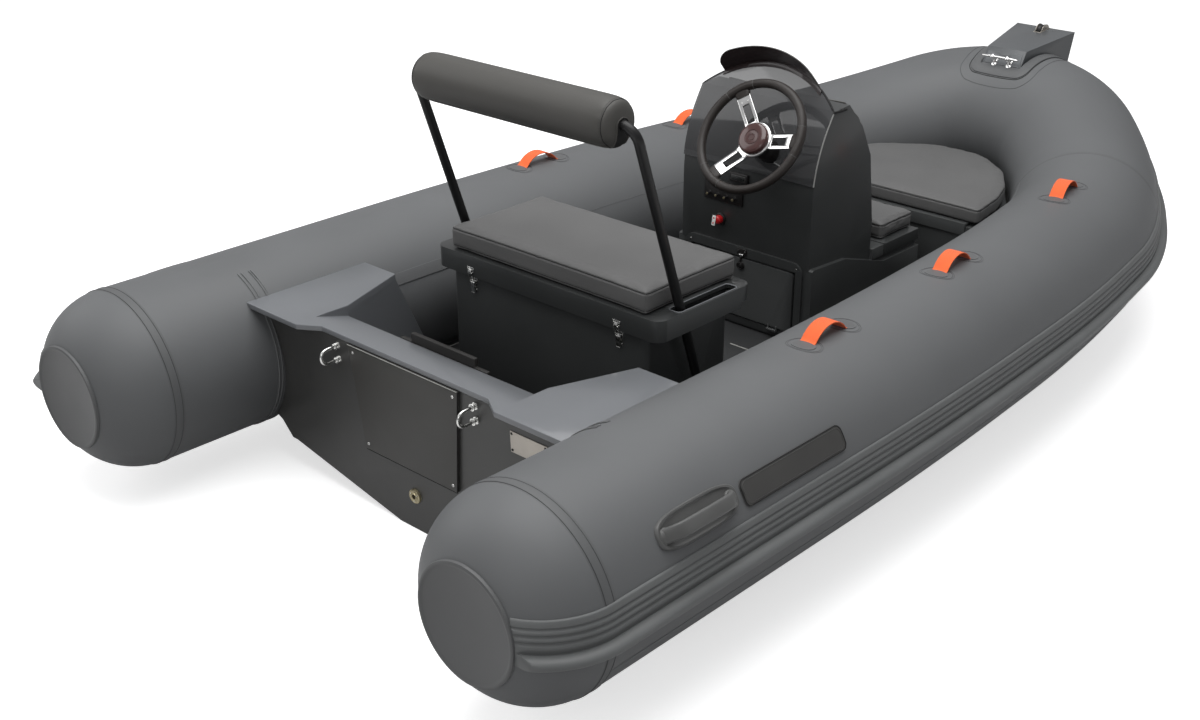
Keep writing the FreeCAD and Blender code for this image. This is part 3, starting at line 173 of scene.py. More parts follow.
# near black: trim, rivets, welts, outlines and dark lines in seams, and painted shade in screw recesses, the
# bung's hole, the bolster's slits and the gaps round the engine plate
M["near_black_and_shade"] = material("near_black_and_painted_shade", (0.006, 0.006, 0.006), 0.7, bump_scale=400.0, bump_dist=0.0002)
M["screen"] = material("smoked_acrylic", (0.058, 0.059, 0.061), 0.05, vary=0.02, rough_vary=0.02, bump=None,
                       coat=0.25, coat_rough=0.04, alpha=0.88)
M["step"] = material("gelcoat_step", (0.078, 0.083, 0.087), 0.35, vary=0.05, rough_vary=0.05,
                     bump_scale=120.0, bump_dist=0.00006, coat=0.25, coat_rough=0.15, edge=0.4)
M["visor"] = material("visor_brown", (0.022, 0.014, 0.014), 0.22, vary=0.06, rough_vary=0.04, coat=0.4,
                      coat_rough=0.08, bump_scale=90.0, bump_dist=0.00003)
M["dash"] = material("dash_gloss", (0.020, 0.021, 0.021), 0.12, vary=0.05, rough_vary=0.03, coat=0.6,
                     coat_rough=0.03, bump_scale=14.0, bump_dist=0.0002)
M["rim"] = material("wheel_leather", (0.019, 0.015, 0.013), 0.45, vary=0.12, vary_scale=30.0, bump="grain",
                    bump_scale=600.0, bump_dist=0.0003, spec=0.5)
M["hub"] = material("hub_brown", (0.060, 0.024, 0.022), 0.16, vary=0.08, vary_scale=30.0, coat=0.6,
                    coat_rough=0.06, bump_scale=90.0, bump_dist=0.00002)
M["red"] = material("kill_red", (0.55, 0.012, 0.016), 0.34, vary=0.06, rough_vary=0.05, vary_scale=50.0,
                    coat=0.4, coat_rough=0.08, bump_scale=300.0, bump_dist=0.00005)
M["white"] = material("tag_white", (0.72, 0.72, 0.70), 0.4, vary=0.04, bump_scale=500.0, bump_dist=0.0001)
M["orange"] = material("webbing_orange", (0.92, 0.150, 0.040), 0.6, vary=0.06, vary_scale=60.0, bump=None,
                       spec=0.3, sheen=0.1)
M["patch_line"] = material("seam_shadow", (0.060, 0.061, 0.063), 0.6, vary=0.1, bump_scale=600.0,
                           bump_dist=0.0001)
M["handle"] = material("handle_moulding", (0.098, 0.099, 0.097), 0.42, vary=0.1, vary_scale=14.0,
                       bump_scale=420.0, bump_dist=0.0003)
M["panel"] = material("side_panel", (0.048, 0.047, 0.045), 0.48, vary=0.07, vary_scale=10.0,
                      bump_scale=650.0, bump_dist=0.00015, edge=0.15)
# pale: the sole's pale lines, and a painted highlight along the engine plate's top edge
M["edge_pale"] = material("pale_lines_and_edge_highlight", (0.34, 0.34, 0.32), 0.4, vary=0.12, vary_scale=60.0,
                          bump_scale=500.0, bump_dist=0.00008)
M["brass"] = material("bung_metal", (0.42, 0.37, 0.24), 0.35, metal=0.85, vary=0.1, vary_scale=60.0,
                      bump_scale=400.0, bump_dist=0.00006)
# pale lines along the edges of the windscreen and the visor: painted highlight
M["screen_edge"] = material("sheet_edge_highlight", (0.30, 0.30, 0.29), 0.34, vary=0.06, coat=0.4, bump_scale=200.0,
                            bump_dist=0.00004)
M["red_line"] = material("red_strip", (0.32, 0.035, 0.03), 0.5, vary=0.1, bump_scale=300.0,
                         bump_dist=0.0002)

# Ribs across the lifting straps' webbing
bsdf, nodes, links = nodes_of(M["orange"])
ribs = put(nodes, "TexWave", Scale=180.0, Distortion=0.6)
ribs.bands_direction = "Y"
links.new(nodes.new("ShaderNodeTexCoord").outputs["Object"], ribs.inputs["Vector"])
relief = put(nodes, "Bump", Strength=1.0, Distance=0.0004)
links.new(ribs.outputs["Fac"], relief.inputs["Height"])
links.new(relief.outputs["Normal"], bsdf.inputs["Normal"])


# Mesh tools
def enter(ob):
    """Puts an object into the scene, once."""
    if not ob.users_collection:
        bpy.context.scene.collection.objects.link(ob)
    return ob


def shade(me, smooth):
    """Smooth all over for True, smooth up to an angle for a number, flat for False."""
    if smooth:
        me.shade_smooth()
    if smooth and smooth is not True:
        me.set_sharp_from_angle(angle=math.radians(smooth))


def to_mesh(bm, name, outward=True):
    """A new mesh from a bmesh, which is freed."""
    me = bpy.data.meshes.new(name)
    if outward:
        bmesh.ops.recalc_face_normals(bm, faces=bm.faces)
    bm.to_mesh(me)
    bm.free()
    return me


def finish_piece(ob, mat, body="boat", gone=(), slot=None, smooth=False):
    """Puts an object into the scene with its material, shading, body and the nodes it replaces. The slot is
    not used.
    """
    enter(ob)
    if mat is not None:
        ob.data.materials.clear()
        ob.data.materials.append(mat)
    shade(ob.data, smooth)
    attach(ob, body)
    if gone:
        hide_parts(*gone)
    return ob


def join(name, obs, **kw):
    """Several meshes become one piece; each keeps its own material."""
    mats = []
    bm = bmesh.new()
    for ob in obs:
        for m in ob.data.materials:
            if m not in mats:
                mats.append(m)
        index = [mats.index(m) for m in ob.data.materials]
        start = len(bm.faces)
        bm.from_mesh(ob.data)
        bm.faces.ensure_lookup_table()
        for f in bm.faces[start:]:
            f.material_index = index[f.material_index]
    me = to_mesh(bm, name, False)
    for m in mats:
        me.materials.append(m)
    for ob in obs:
        old = ob.data
        bpy.data.objects.remove(ob)
        bpy.data.meshes.remove(old)
    return finish_piece(bpy.data.objects.new(name, me), None, **kw)


def loose(name, verts, faces, mat, smooth=True):
    """A mesh that is joined into a piece later."""
    me = bpy.data.meshes.new(name)
    me.from_pydata([tuple(v) for v in verts], [], [tuple(f) for f in faces])
    me.materials.append(mat)
    shade(me, smooth)
    return bpy.data.objects.new(name, me)


def loose_bm(name, bm, mat, smooth=40):
    """The same from a bmesh."""
    me = to_mesh(bm, name)
    me.materials.append(mat)
    shade(me, smooth)
    return bpy.data.objects.new(name, me)


def turn_outward(me):
    """Turns all faces of a closed mesh outward."""
    bm = bmesh.new()
    bm.from_mesh(me)
    bmesh.ops.recalc_face_normals(bm, faces=bm.faces)
    bm.to_mesh(me)
    bm.free()


def grid(rows, count, closed=True):
    """Faces between rows of points. A closed grid joins each row's end to its start."""
    return [(i * count + j, i * count + (j + 1) % count, (i + 1) * count + (j + 1) % count,
             (i + 1) * count + j)
            for i in range(rows - 1) for j in range(count if closed else count - 1)]


def bridge(bm, rings, cap=True):
    """Faces between rings of bmesh points, and one over the last ring."""
    for a, b in zip(rings, rings[1:]):
        for i in range(len(a)):
            j = (i + 1) % len(a)
            bm.faces.new((a[i], a[j], b[j], b[i]))
    if cap:
        bm.faces.new(rings[-1])


def squared(t, power_x, power_y=None):
    """A point on a unit oval by angle. Powers under 1 square it off."""
    c, s = math.cos(t), math.sin(t)
    return (math.copysign(abs(c) ** power_x, c), math.copysign(abs(s) ** (power_y or power_x), s))


def turns(n):
    """n angles evenly round a circle."""
    return [2 * PI * i / n for i in range(n)]


def frame_from(z_axis, x_hint=(1, 0, 0)):
    """A rotation with its z along an axis and its x as near a hint as that allows."""
    z = Vector(z_axis).normalized()
    x = Vector(x_hint) - z * Vector(x_hint).dot(z)
    if x.length < 1e-4:
        x = Vector((0, 1, 0)) - z * z.y
    x.normalize()
    y = z.cross(x)
    return Matrix((x, y, z)).transposed().to_4x4()


def block(size, bevel, at, z_axis, x_hint, mat, name="block", segs=2):
    """A box with rounded edges, its z along an axis."""
    bm = bmesh.new()
    bmesh.ops.create_cube(bm, size=1.0)
    bmesh.ops.scale(bm, vec=size, verts=bm.verts)
    if bevel:
        bmesh.ops.bevel(bm, geom=bm.edges[:], offset=bevel, segments=segs, profile=0.5, affect="EDGES")
    bmesh.ops.transform(bm, matrix=Matrix.Translation(Vector(at)) @ frame_from(z_axis, x_hint),
                        verts=bm.verts)
    return loose_bm(name, bm, mat, 50)


def lathe(profile, at, axis, mat, steps=32, name="lathe", smooth=35):
    """Turns (radius, height) points about an axis. Closed at both ends where the radius is zero."""
    m = Matrix.Translation(Vector(at)) @ frame_from(axis)
    verts = []
    faces = []
    rings = []
    for r, h in profile:
        if r < 1e-6:
            rings.append([len(verts)])
            verts.append(m @ Vector((0, 0, h)))
        else:
            rings.append(list(range(len(verts), len(verts) + steps)))
            for a in turns(steps):
                verts.append(m @ Vector((r * math.cos(a), r * math.sin(a), h)))
    for a, b in zip(rings, rings[1:]):
        for i in range(steps):
            j = (i + 1) % steps
            if len(a) == 1 and len(b) == 1:
                continue
            if len(a) == 1:
                faces.append((a[0], b[i], b[j]))
            elif len(b) == 1:
                faces.append((a[i], b[0], a[j]))
            else:
                faces.append((a[i], b[i], b[j], a[j]))
    ob = loose(name, verts, faces, mat, smooth)
    turn_outward(ob.data)
    return ob


def sweep(points, profile, mat, up=(0, 0, 1), name="sweep", caps=True, uv=False, fixed_up=False,
          smooth=40, scales=None):
    """A closed profile of (out, up) points drawn along a line of points."""
    pts = [Vector(p) for p in points]
    up = Vector(up)
    n = len(profile)
    verts = []
    uvs = []
    run = 0.0
    around = [0.0]
    for a, b in zip(profile, profile[1:]):
        around.append(around[-1] + math.hypot(b[0] - a[0], b[1] - a[1]))
    for i, p in enumerate(pts):
        t = (pts[min(i + 1, len(pts) - 1)] - pts[max(i - 1, 0)]).normalized()
        side = t.cross(up).normalized()
        v = up if fixed_up else side.cross(t)
        if i:
            run += (p - pts[i - 1]).length
        k = scales[i] if scales else 1.0
        for j, (a, b) in enumerate(profile):
            verts.append(p + side * a * k + v * b * k)
            uvs.append((run, around[j]))
    faces = grid(len(pts), n)
    if caps:
        faces.append(tuple(range(n))[::-1])
        faces.append(tuple(range((len(pts) - 1) * n, len(pts) * n)))
    ob = loose(name, verts, faces, mat, smooth)
    turn_outward(ob.data)
    if uv:
        layer = ob.data.uv_layers.new(name="UVMap")
        for loop in ob.data.loops:
            layer.data[loop.index].uv = uvs[loop.vertex_index]
    return ob


def pipe(points, r, mat, n=12, name="pipe", scales=None):
    """A round tube along a line of points, without twist."""
    pts = [Vector(p) for p in points]
    d = (pts[-1] - pts[0]).normalized()
    up = Vector((0, 0, 1)) if abs(d.z) < 0.9 else Vector((1, 0, 0))
    verts = []
    side = None
    for i, p in enumerate(pts):
        t = (pts[min(i + 1, len(pts) - 1)] - pts[max(i - 1, 0)]).normalized()
        if side is None:
            side = t.cross(up)
            if side.length < 1e-3:
                side = t.cross(Vector((0, 1, 0)))
            side.normalize()
        else:
            side = (side - t * side.dot(t)).normalized()
        v = side.cross(t)
        k = scales[i] if scales else 1.0
        for a in turns(n):
            verts.append(p + (side * math.cos(a) + v * math.sin(a)) * r * k)
    faces = [(a, d, c, b) for a, b, c, d in grid(len(pts), n)]
    faces.append(tuple(range(n)))
    faces.append(tuple(range((len(pts) - 1) * n, len(pts) * n))[::-1])
    return loose(name, verts, faces, mat, 50)


def arc_line(points, radii=None, share=None, step=0.01):
    """Straight runs joined by tangent arcs, as points no more than a step apart on the arcs."""
    pts = [Vector(p) for p in points]
    out = [pts[0]]
    used = []
    for i in range(1, len(pts) - 1):
        a = pts[i - 1] - pts[i]
        b = pts[i + 1] - pts[i]
        la, lb = a.length, b.length
        a.normalize()
        b.normalize()
        half = a.angle(b) / 2.0
        if radii is None:
            t = share * min(la, lb)
            r = t * math.tan(half)
        else:
            r = radii[i - 1]
            t = r / math.tan(half)
        used.append(r)
        p = pts[i] + a * t
        q = pts[i] + b * t
        c = pts[i] + (a + b).normalized() * (r / math.sin(half))
        u = (p - c).normalized()
        w = (q - c).normalized()
        total = u.angle(w)
        n = max(3, int(total * r / step))
        v = (w - u * w.dot(u)).normalized()
        for k in range(n + 1):
            x = total * k / n
            out.append(c + (u * math.cos(x) + v * math.sin(x)) * r)
    out.append(pts[-1])
    clean = [out[0]]
    for p in out[1:]:
        gap = (p - clean[-1]).length
        if gap < 1e-5:
            continue
        m = int(gap / (step * 1.5))
        base = clean[-1]
        for k in range(1, m + 1):
            clean.append(base.lerp(p, k / (m + 1)))
        clean.append(p)
    return clean, used


def softened(node, mat, width, body="boat", slot=None):
    """The CAD node's own shape with rounded edges, standing for it."""
    bm = bmesh.new()
    bm.from_mesh(NODES[node].data)
    bmesh.ops.remove_doubles(bm, verts=bm.verts, dist=1e-5)
    bmesh.ops.dissolve_limit(bm, angle_limit=math.radians(0.6), verts=bm.verts, edges=bm.edges,
                             delimit={"NORMAL"})
    bmesh.ops.dissolve_degenerate(bm, edges=bm.edges, dist=2e-5)
    ob = enter(bpy.data.objects.new("soft_" + node, to_mesh(bm, "soft_" + node, False)))
    mod = ob.modifiers.new("round", "BEVEL")
    mod.width = width
    mod.segments = 3
    mod.limit_method = "ANGLE"
    mod.angle_limit = math.radians(28)
    mod.use_clamp_overlap = True
    mod.harden_normals = False
    tri = ob.modifiers.new("tri", "TRIANGULATE")
    tri.keep_custom_normals = False
    apply_all(ob)
    for p in ob.data.polygons:
        p.material_index = 0
    return finish_piece(ob, mat, body, (node,), slot, 32)


def apply_all(ob):
    """Replaces an object's mesh by what its modifiers make of it."""
    dg = bpy.context.evaluated_depsgraph_get()
    me = bpy.data.meshes.new_from_object(ob.evaluated_get(dg))
    old = ob.data
    ob.modifiers.clear()
    ob.data = me
    bpy.data.meshes.remove(old)


def screw(at, normal, mat, r=0.004, cross=True):
    """A countersunk screw head with a cross recess."""
    n = Vector(normal).normalized()
    head = [(0, 0.0012), (r * 0.55, 0.0012), (r * 0.9, 0.0009), (r, 0.0), (r, -0.0012), (0, -0.0012)]
    parts = [lathe(head, at, n, mat, 16, "screw")]
    if cross:
        # the cross recess is two near-black blocks on the head: painted shade
        for k in (0, 1):
            h = frame_from(n).to_3x3() @ Vector((1, 0, 0) if k else (0, 1, 0))
            parts.append(block((r * 1.2, r * 0.22, 0.0004), 0, Vector(at) + n * 0.00125, n, h, M["near_black_and_shade"],
                               "slot"))
    return parts


def nut(at, normal, mat, r, h):
    """A hexagon nut on its washer."""
    prof = [(0, h), (r * 0.8, h), (r, h * 0.82), (r, 0), (0, 0)]
    ring = [(r * 1.45, 0.0016), (r * 1.5, 0.001), (r * 1.5, 0), (0, 0), (0, 0.0016), (r * 1.45, 0.0016)]
    return [lathe(prof, at, normal, mat, 6, "nut", smooth=20), lathe(ring, at, normal, mat, 24, "washer")]


# Tubes and strake
R = 0.225  # tube radius in metres
TUBE_HALF = 697.0  # half the distance between the tubes' centres
TUBE_Z = 293.0  # height of the tubes' centres
CONE_S = 163.0  # station where the tail cones begin
half_line = [(TUBE_HALF, CONE_S, TUBE_Z), (695, 1317, TUBE_Z), (652, 2092, TUBE_Z), (569, 2634, TUBE_Z),
             (388, 2972, 359), (168, 3190, 455)]
line = [P(*p) for p in half_line] + [P(-x, s, z) for x, s, z in reversed(half_line)]
centre, bend_radii = arc_line(line, share=0.48, step=0.012)


def tube_centre(s):
    """Centre of the starboard tube at a station in millimetres."""
    y = s / 1000.0 - MID
    if s <= CONE_S:
        return Vector((TUBE_HALF / 1000.0, y, TUBE_Z / 1000.0))
    right = [p for p in centre if p.x >= 0]
    best = min(range(len(right) - 1), key=lambda i: abs((right[i].y + right[i + 1].y) / 2 - y))
    a, b = right[best], right[best + 1]
    k = (y - a.y) / (b.y - a.y) if abs(b.y - a.y) > 1e-9 else 0.0
    return a.lerp(b, max(-1.0, min(2.0, k)))


def on_tube(s, degrees, lift=0.0, side=1):
    """A point on the tube's skin, by angle up from its widest line outboard. side 1 is starboard."""
    c = tube_centre(s)
    d = tube_centre(s + 5.0) - tube_centre(s - 5.0)
    d.normalize()
    out = d.cross(Vector((0, 0, 1))).normalized()
    up = out.cross(d)
    a = math.radians(degrees)
    n = out * math.cos(a) + up * math.sin(a)
    p = c + n * (R + lift)
    if side < 0:
        p.x = -p.x
        n = Vector((-n.x, n.y, n.z))
        d = Vector((-d.x, d.y, d.z))
    return p, n, d


CONE_R = 0.18203  # radius of the cone's arc


def cone_radius(s):
    """Radius of the tail cone at a station, on one arc from the end disc to the tube."""
    return R - CONE_R + math.sqrt(max(CONE_R ** 2 - ((s - CONE_S) / 1000.0) ** 2, 0.0))


def skin_line():
    """Centre points with radii for the whole skin: cone, side, bow, side, cone."""
    steps = 27
    cone = [CONE_S * (i / steps) for i in range(steps)]
    out = [(P(TUBE_HALF, s, TUBE_Z), min(cone_radius(s), R)) for s in cone]
    out += [(p, R) for p in centre]
    return out + [(P(-TUBE_HALF, s, TUBE_Z), min(cone_radius(s), R)) for s in reversed(cone)]


def skin(name, pts, gone):
    """A stretch of the tubes' skin, standing for its nodes."""
    prof = [(math.cos(a), math.sin(a)) for a in turns(96)]
    ob = sweep([p for p, r in pts], prof, M["pvc"], scales=[r for p, r in pts], name=name, uv=True, smooth=60)
    return finish_piece(ob, None, gone=gone, slot="pvc_grey")


whole = skin_line()
BOW_S = 2745.0  # station where the bow tube begins
first_bow = min((i for i in range(len(whole)) if whole[i][0].x > 0),
                key=lambda i: (whole[i][0] - tube_centre(BOW_S)).length)
last_bow = len(whole) - 1 - first_bow
skin("skin_starboard", whole[:first_bow + 1], ("tube_starboard", "tail_cones"))
skin("skin_port", whole[last_bow:], ("tube_port",))
bow_skin = skin("skin_bow", whole[first_bow:last_bow + 1], ("tube_bow",))


def cone_drop(s):
    """How far the cone's skin lies inside the tube's radius at a station."""
    return min(cone_radius(s) - R, 0.0) if s < CONE_S else 0.0


def ring_band(s0, s1, lift, side, name, degrees=None):
    """A welded band round the tube between two stations, all round or over a span of angles."""
    n = max(2, int(abs(s1 - s0) / 8.0))
    span = degrees or (0.0, 360.0)
    steps = 96 if degrees is None else max(8, int(abs(span[1] - span[0]) / 3.75))
    count = steps + (0 if degrees is None else 1)
    sunk = -0.0004  # the band's edges lie just inside the skin
    verts = []
    for i in range(n + 1):
        s = s0 + (s1 - s0) * i / n
        for j in range(count):
            on_edge = i in (0, n) or (degrees is not None and j in (0, steps))
            a = span[0] + (span[1] - span[0]) * j / steps
            verts.append(on_tube(s, a, cone_drop(s) + (sunk if on_edge else lift), side)[0])
    return loose(name, verts, grid(n + 1, count, degrees is None), M["patch"], 50)


bands = []
for side in (1, -1):
    bands.append(ring_band(140, 176, 0.0009, side, "seam_cone"))
    bands.append(ring_band(2737, 2760, 0.0009, side, "seam_bow"))
    bands.append(ring_band(440, 462, 0.0016, side, "seam_transom_a", (118, 300)))
    bands.append(ring_band(474, 488, 0.0016, side, "seam_transom_b", (118, 300)))
join("tube_bands", bands, slot="pvc_grey")


def patch(s0, s1, a0, a1, lift, side, corner, mat, name):
    """A welded patch with round corners lying on the tube."""
    ls = abs(s1 - s0) / 1000.0
    la = abs(a1 - a0) * PI / 180.0 * R
    seg = 5
    pts = []
    for kx, ky, a_start in ((1, 1, 0), (-1, 1, 90), (-1, -1, 180), (1, -1, 270)):
        for k in range(seg + 1):
            a = math.radians(a_start + 90.0 * k / seg)
            pts.append((kx * (ls / 2 - corner) + corner * math.cos(a),
                        ky * (la / 2 - corner) + corner * math.sin(a)))
    outline = []
    for i, (x, y) in enumerate(pts):
        nx, ny = pts[(i + 1) % len(pts)]
        m = max(1, int(math.hypot(nx - x, ny - y) / 0.012))
        outline += [(x + (nx - x) * k / m, y + (ny - y) * k / m) for k in range(m)]
    # rings towards the middle fill the top
    bm = bmesh.new()
    top = [bm.verts.new((x * 0.985, y * 0.985, 1.0)) for x, y in outline]
    rings = [[bm.verts.new((x, y, 0.0)) for x, y in outline], top]
    for f in (0.8, 0.6, 0.4, 0.2):
        rings.append([bm.verts.new((v.co.x * f, v.co.y * f, 1.0)) for v in top])
    bridge(bm, rings)
    sm, am = (s0 + s1) / 2.0, (a0 + a1) / 2.0
    for v in bm.verts:
        v.co = on_tube(sm + v.co.x * 1000.0, am + v.co.y / R * 180.0 / PI, lift if v.co.z > 0.5 else -0.0005,
                       side)[0]
    return loose_bm(name, bm, mat, 50)


# Rubbing strake: band with grooves and a half-round bead on one line
skin_r = R + 0.0003
turn_r = CONE_R + 0.0003
sweep_a = math.asin(CONE_S / 1000.0 / CONE_R)
turn_run = turn_r * 1000.0 * math.tan(sweep_a / 2)
past_end = turn_run + 6.0
widest = TUBE_HALF + skin_r * 1000.0
outer = [(widest - past_end * math.sin(sweep_a), CONE_S - turn_run - past_end * math.cos(sweep_a), TUBE_Z),
         (widest, CONE_S - turn_run, TUBE_Z)]
grown = []
for i in range(1, len(line) - 1):
    a = line[i] - line[i - 1]
    b = line[i + 1] - line[i]
    na = Vector((a.y, -a.x, 0)).normalized()
    nb = Vector((b.y, -b.x, 0)).normalized()
    n = (na + nb).normalized()
    grown.append(line[i] + n * (skin_r / n.dot(na)))
strake_pts = [P(*p) for p in outer] + grown + [P(-x, s, z) for x, s, z in reversed(outer)]
strake_line, _ = arc_line(strake_pts, radii=[turn_r] + [r + R for r in bend_radii] + [turn_r], step=0.012)


def strake_profile():
    """Outward and upward points: a ribbed band above, the bead below."""
    def skin_at(z):
        return -(R - math.sqrt(R * R - z * z))
    pts = [(skin_at(0.066) - 0.001, 0.066), (skin_at(0.066) + 0.0035, 0.0665),
           (skin_at(0.063) + 0.005, 0.0635)]
    for g in (0.050, 0.036, 0.022):
        for dz, dd in ((0.0036, 0.0), (0.0022, -0.0026), (0.0, -0.0034), (-0.0022, -0.0026), (-0.0036, 0.0)):
            z = g + dz
            pts.append((skin_at(z) + 0.005 + dd, z))
        pts.append((skin_at(g - 0.007) + 0.0056, g - 0.007))
    pts += [(0.0052, 0.008), (0.0028, 0.0035), (0.0032, 0.0)]
    for k in range(13):
        a = PI / 2 - PI * k / 12
        pts.append((0.006 + 0.0218 * math.cos(a), -0.014 + 0.0138 * math.sin(a)))
    pts += [(0.002, -0.0282), (-0.001, -0.0282)]
    pts += [(-0.0012, 0.0), (skin_at(0.033) - 0.001, 0.033)]
    return pts


strake = sweep(strake_line, strake_profile(), M["strake"], fixed_up=True, name="strake", uv=True)
sbm = bmesh.new()
sbm.from_mesh(strake.data)
bmesh.ops.bisect_plane(sbm, geom=sbm.verts[:] + sbm.edges[:] + sbm.faces[:], plane_co=(0, -MID, 0),
                       plane_no=(0, -1, 0), clear_outer=True)
bmesh.ops.holes_fill(sbm, edges=[e for e in sbm.edges if e.is_boundary])
sbm.to_mesh(strake.data)
sbm.free()
finish_piece(strake, None, gone=("rubbing_strake",), slot="strake_grey", smooth=60)

# End discs with a raised bead and a bare sunk centre
discs = []
profile = [(0.0, 0.0022), (0.012, 0.0022), (0.1135, 0.0024), (0.1155, 0.0032), (0.119, 0.0034),
           (0.1215, 0.0056), (0.1255, 0.0060), (0.1285, 0.0046), (0.1292, 0.0006), (0.1292, -0.002),
           (0.0, -0.002)]
for k in (1, -1):
    discs.append(lathe(profile, P(TUBE_HALF * k, 0, TUBE_Z), (0, -1, 0), M["disc"], 96, "disc", smooth=50))
join("end_caps", discs, gone=("end_discs",), slot="pvc_grey")

# Stage, and the photo's camera as solved from its straight edges
cam_data = bpy.data.cameras.new("camera")
cam_data.lens = 46.69
cam_data.sensor_width = 36.0
camera = enter(bpy.data.objects.new("camera", cam_data))
az, el = math.radians(42.863), math.radians(24.742)
look = Vector((-math.sin(az) * math.cos(el), math.cos(az) * math.cos(el), -math.sin(el)))
camera.location = (2.504, -3.3035, 1.930)
camera.rotation_euler = look.to_track_quat("-Z", "Y").to_euler()
scene = bpy.context.scene
scene.camera = camera
scene.view_settings.view_transform = "Standard"
world = bpy.data.worlds.new("studio")
scene.world = world
world.use_nodes = True
wn, wl = world.node_tree.nodes, world.node_tree.links
wn.clear()
# rays that carry light see a soft sky, brighter overhead; the camera and clear pieces see white
w_soft = put(wn, "Background", Strength=0.47)
w_white = put(wn, "Background", Color=(1, 1, 1, 1))
grad = wn.new("ShaderNodeValToRGB")
for stop, at, tone in zip(grad.color_ramp.elements, (0.35, 0.85),
                          ((0.30, 0.30, 0.30, 1), (1.0, 1.0, 1.02, 1))):
    stop.position = at
    stop.color = tone
w_sep = wn.new("ShaderNodeSeparateXYZ")
w_rng = put(wn, "MapRange", From_Min=-1.0)
wl.new(wn.new("ShaderNodeTexCoord").outputs["Generated"], w_sep.inputs["Vector"])
wl.new(w_sep.outputs["Z"], w_rng.inputs["Value"])
wl.new(w_rng.outputs["Result"], grad.inputs["Fac"])
wl.new(grad.outputs["Color"], w_soft.inputs["Color"])
w_mix = wn.new("ShaderNodeMixShader")
wl.new(w_soft.outputs["Background"], w_mix.inputs[1])
wl.new(w_white.outputs["Background"], w_mix.inputs[2])
wl.new(w_mix.outputs["Shader"], wn.new("ShaderNodeOutputWorld").inputs["Surface"])


def either(nodes, links, first, second):
    """A factor that is 1 where one of two is."""
    node = nodes.new("ShaderNodeMath")
    node.operation = "MAXIMUM"
    links.new(first, node.inputs[0])
    links.new(second, node.inputs[1])
    return node.outputs["Value"]


rays = wn.new("ShaderNodeLightPath").outputs
wl.new(either(wn, wl, rays["Is Camera Ray"], rays["Is Transmission Ray"]), w_mix.inputs["Fac"])


def lamp(name, at, to, size, power):
    """A rectangular lamp at a place, turned to another."""
    data = bpy.data.lights.new(name, "AREA")
    data.shape = "RECTANGLE"
    data.size, data.size_y = size
    data.energy = power
    ob = enter(bpy.data.objects.new(name, data))
    ob.location = at
    ob.rotation_euler = (Vector(to) - Vector(at)).to_track_quat("-Z", "Y").to_euler()


lamp("over", (0.1, -0.5, 4.6), (0, 0, 0), (4.5, 5.0), 228.0)
lamp("left", (-4.2, -2.6, 2.8), (0, 0, 0.3), (3.0, 3.0), 44.0)
lamp("aft", (1.6, -5.2, 2.6), (0, -1.2, 0.3), (2.6, 2.0), 26.0)

# The floor is pale to the camera and in reflections, and darker to diffuse rays, so it throws little light up
floor_mat = bpy.data.materials.new("floor")
floor_mat.use_nodes = True
fb, fn, fl = nodes_of(floor_mat)
fb.inputs["Roughness"].default_value = 0.9
fb.inputs["Specular IOR Level"].default_value = 0.1
rays = fn.new("ShaderNodeLightPath").outputs
seen = either(fn, fl, either(fn, fl, rays["Is Camera Ray"], rays["Is Glossy Ray"]),
              rays["Is Transmission Ray"])
f_dark = put(fn, "RGB")
f_dark.outputs[0].default_value = (0.28, 0.28, 0.28, 1)
fl.new(blend(fn, fl, seen, f_dark.outputs[0], (0.82, 0.82, 0.82)), fb.inputs["Base Color"])
glow = fn.new("ShaderNodeMath")
glow.operation = "MULTIPLY"
glow.inputs[1].default_value = 0.62
fl.new(rays["Is Camera Ray"], glow.inputs[0])
f_em = fn.new("ShaderNodeEmission")
fl.new(glow.outputs["Value"], f_em.inputs["Strength"])
f_add = fn.new("ShaderNodeAddShader")
fl.new(fb.outputs["BSDF"], f_add.inputs[0])
fl.new(f_em.outputs["Emission"], f_add.inputs[1])
fl.new(f_add.outputs["Shader"], fn["Material Output"].inputs["Surface"])
floor_half = 14.0
corners = [(x * floor_half, y * floor_half, 0) for x, y in ((-1, -1), (1, -1), (1, 1), (-1, 1))]
enter(loose("floor", corners, [(0, 1, 2, 3)], floor_mat, False))

# Pieces that keep the CAD's own shape, with softened edges: material, width of the edge, slot, body
SOFTENED = {
    "hull": ("transom", 0.003, "gelcoat_dark"),
    "transom_deck": ("gel_grey", 0.004, "gelcoat_grey"),
    "engine_plate_outer": ("plate", 0.0015, "plate_dark"),
    "engine_pad_inner": ("pad", 0.0025, "pad_brown"),
    "seat_locker": ("gel_dark", 0.0025, "gelcoat_dark"),
    "hatch_frame": ("gel_dark", 0.0025, "gelcoat_dark"),
    "console": ("gel_dark", 0.007, "gelcoat_dark"),
    "bow_locker": ("gel_dark", 0.003, "gelcoat_dark"),
    "bow_step": ("step", 0.005, "gelcoat_grey"),
    "switch_panel": ("black_plastic", 0.001, "black_plastic"),
    "data_plate": ("beige", 0.0006, "data_beige"),
    "seat_lid": ("gel_dark", 0.003, "gelcoat_dark", "seat_lid_body"),
    "hatch_door": ("gel_dark", 0.002, "gelcoat_dark", "hatch"),
    "front_seat_lid": ("gel_dark", 0.002, "gelcoat_dark", "front_seat"),
    "bow_locker_lid": ("gel_dark", 0.002, "gelcoat_dark", "bow_lid"),
}
for node, (mat, width, slot, *body) in SOFTENED.items():
    softened(node, M[mat], width, *body, slot=slot)
for node, mat in (("cockpit_sole", "sole"), ("helm_column", "black_plastic")):
    ob = NODES[node]
    ob.data.materials.clear()
    ob.data.materials.append(M[mat])

# Padded pieces
FILM = 0.0002  # padded pieces stay this far inside the CAD's box, in metres


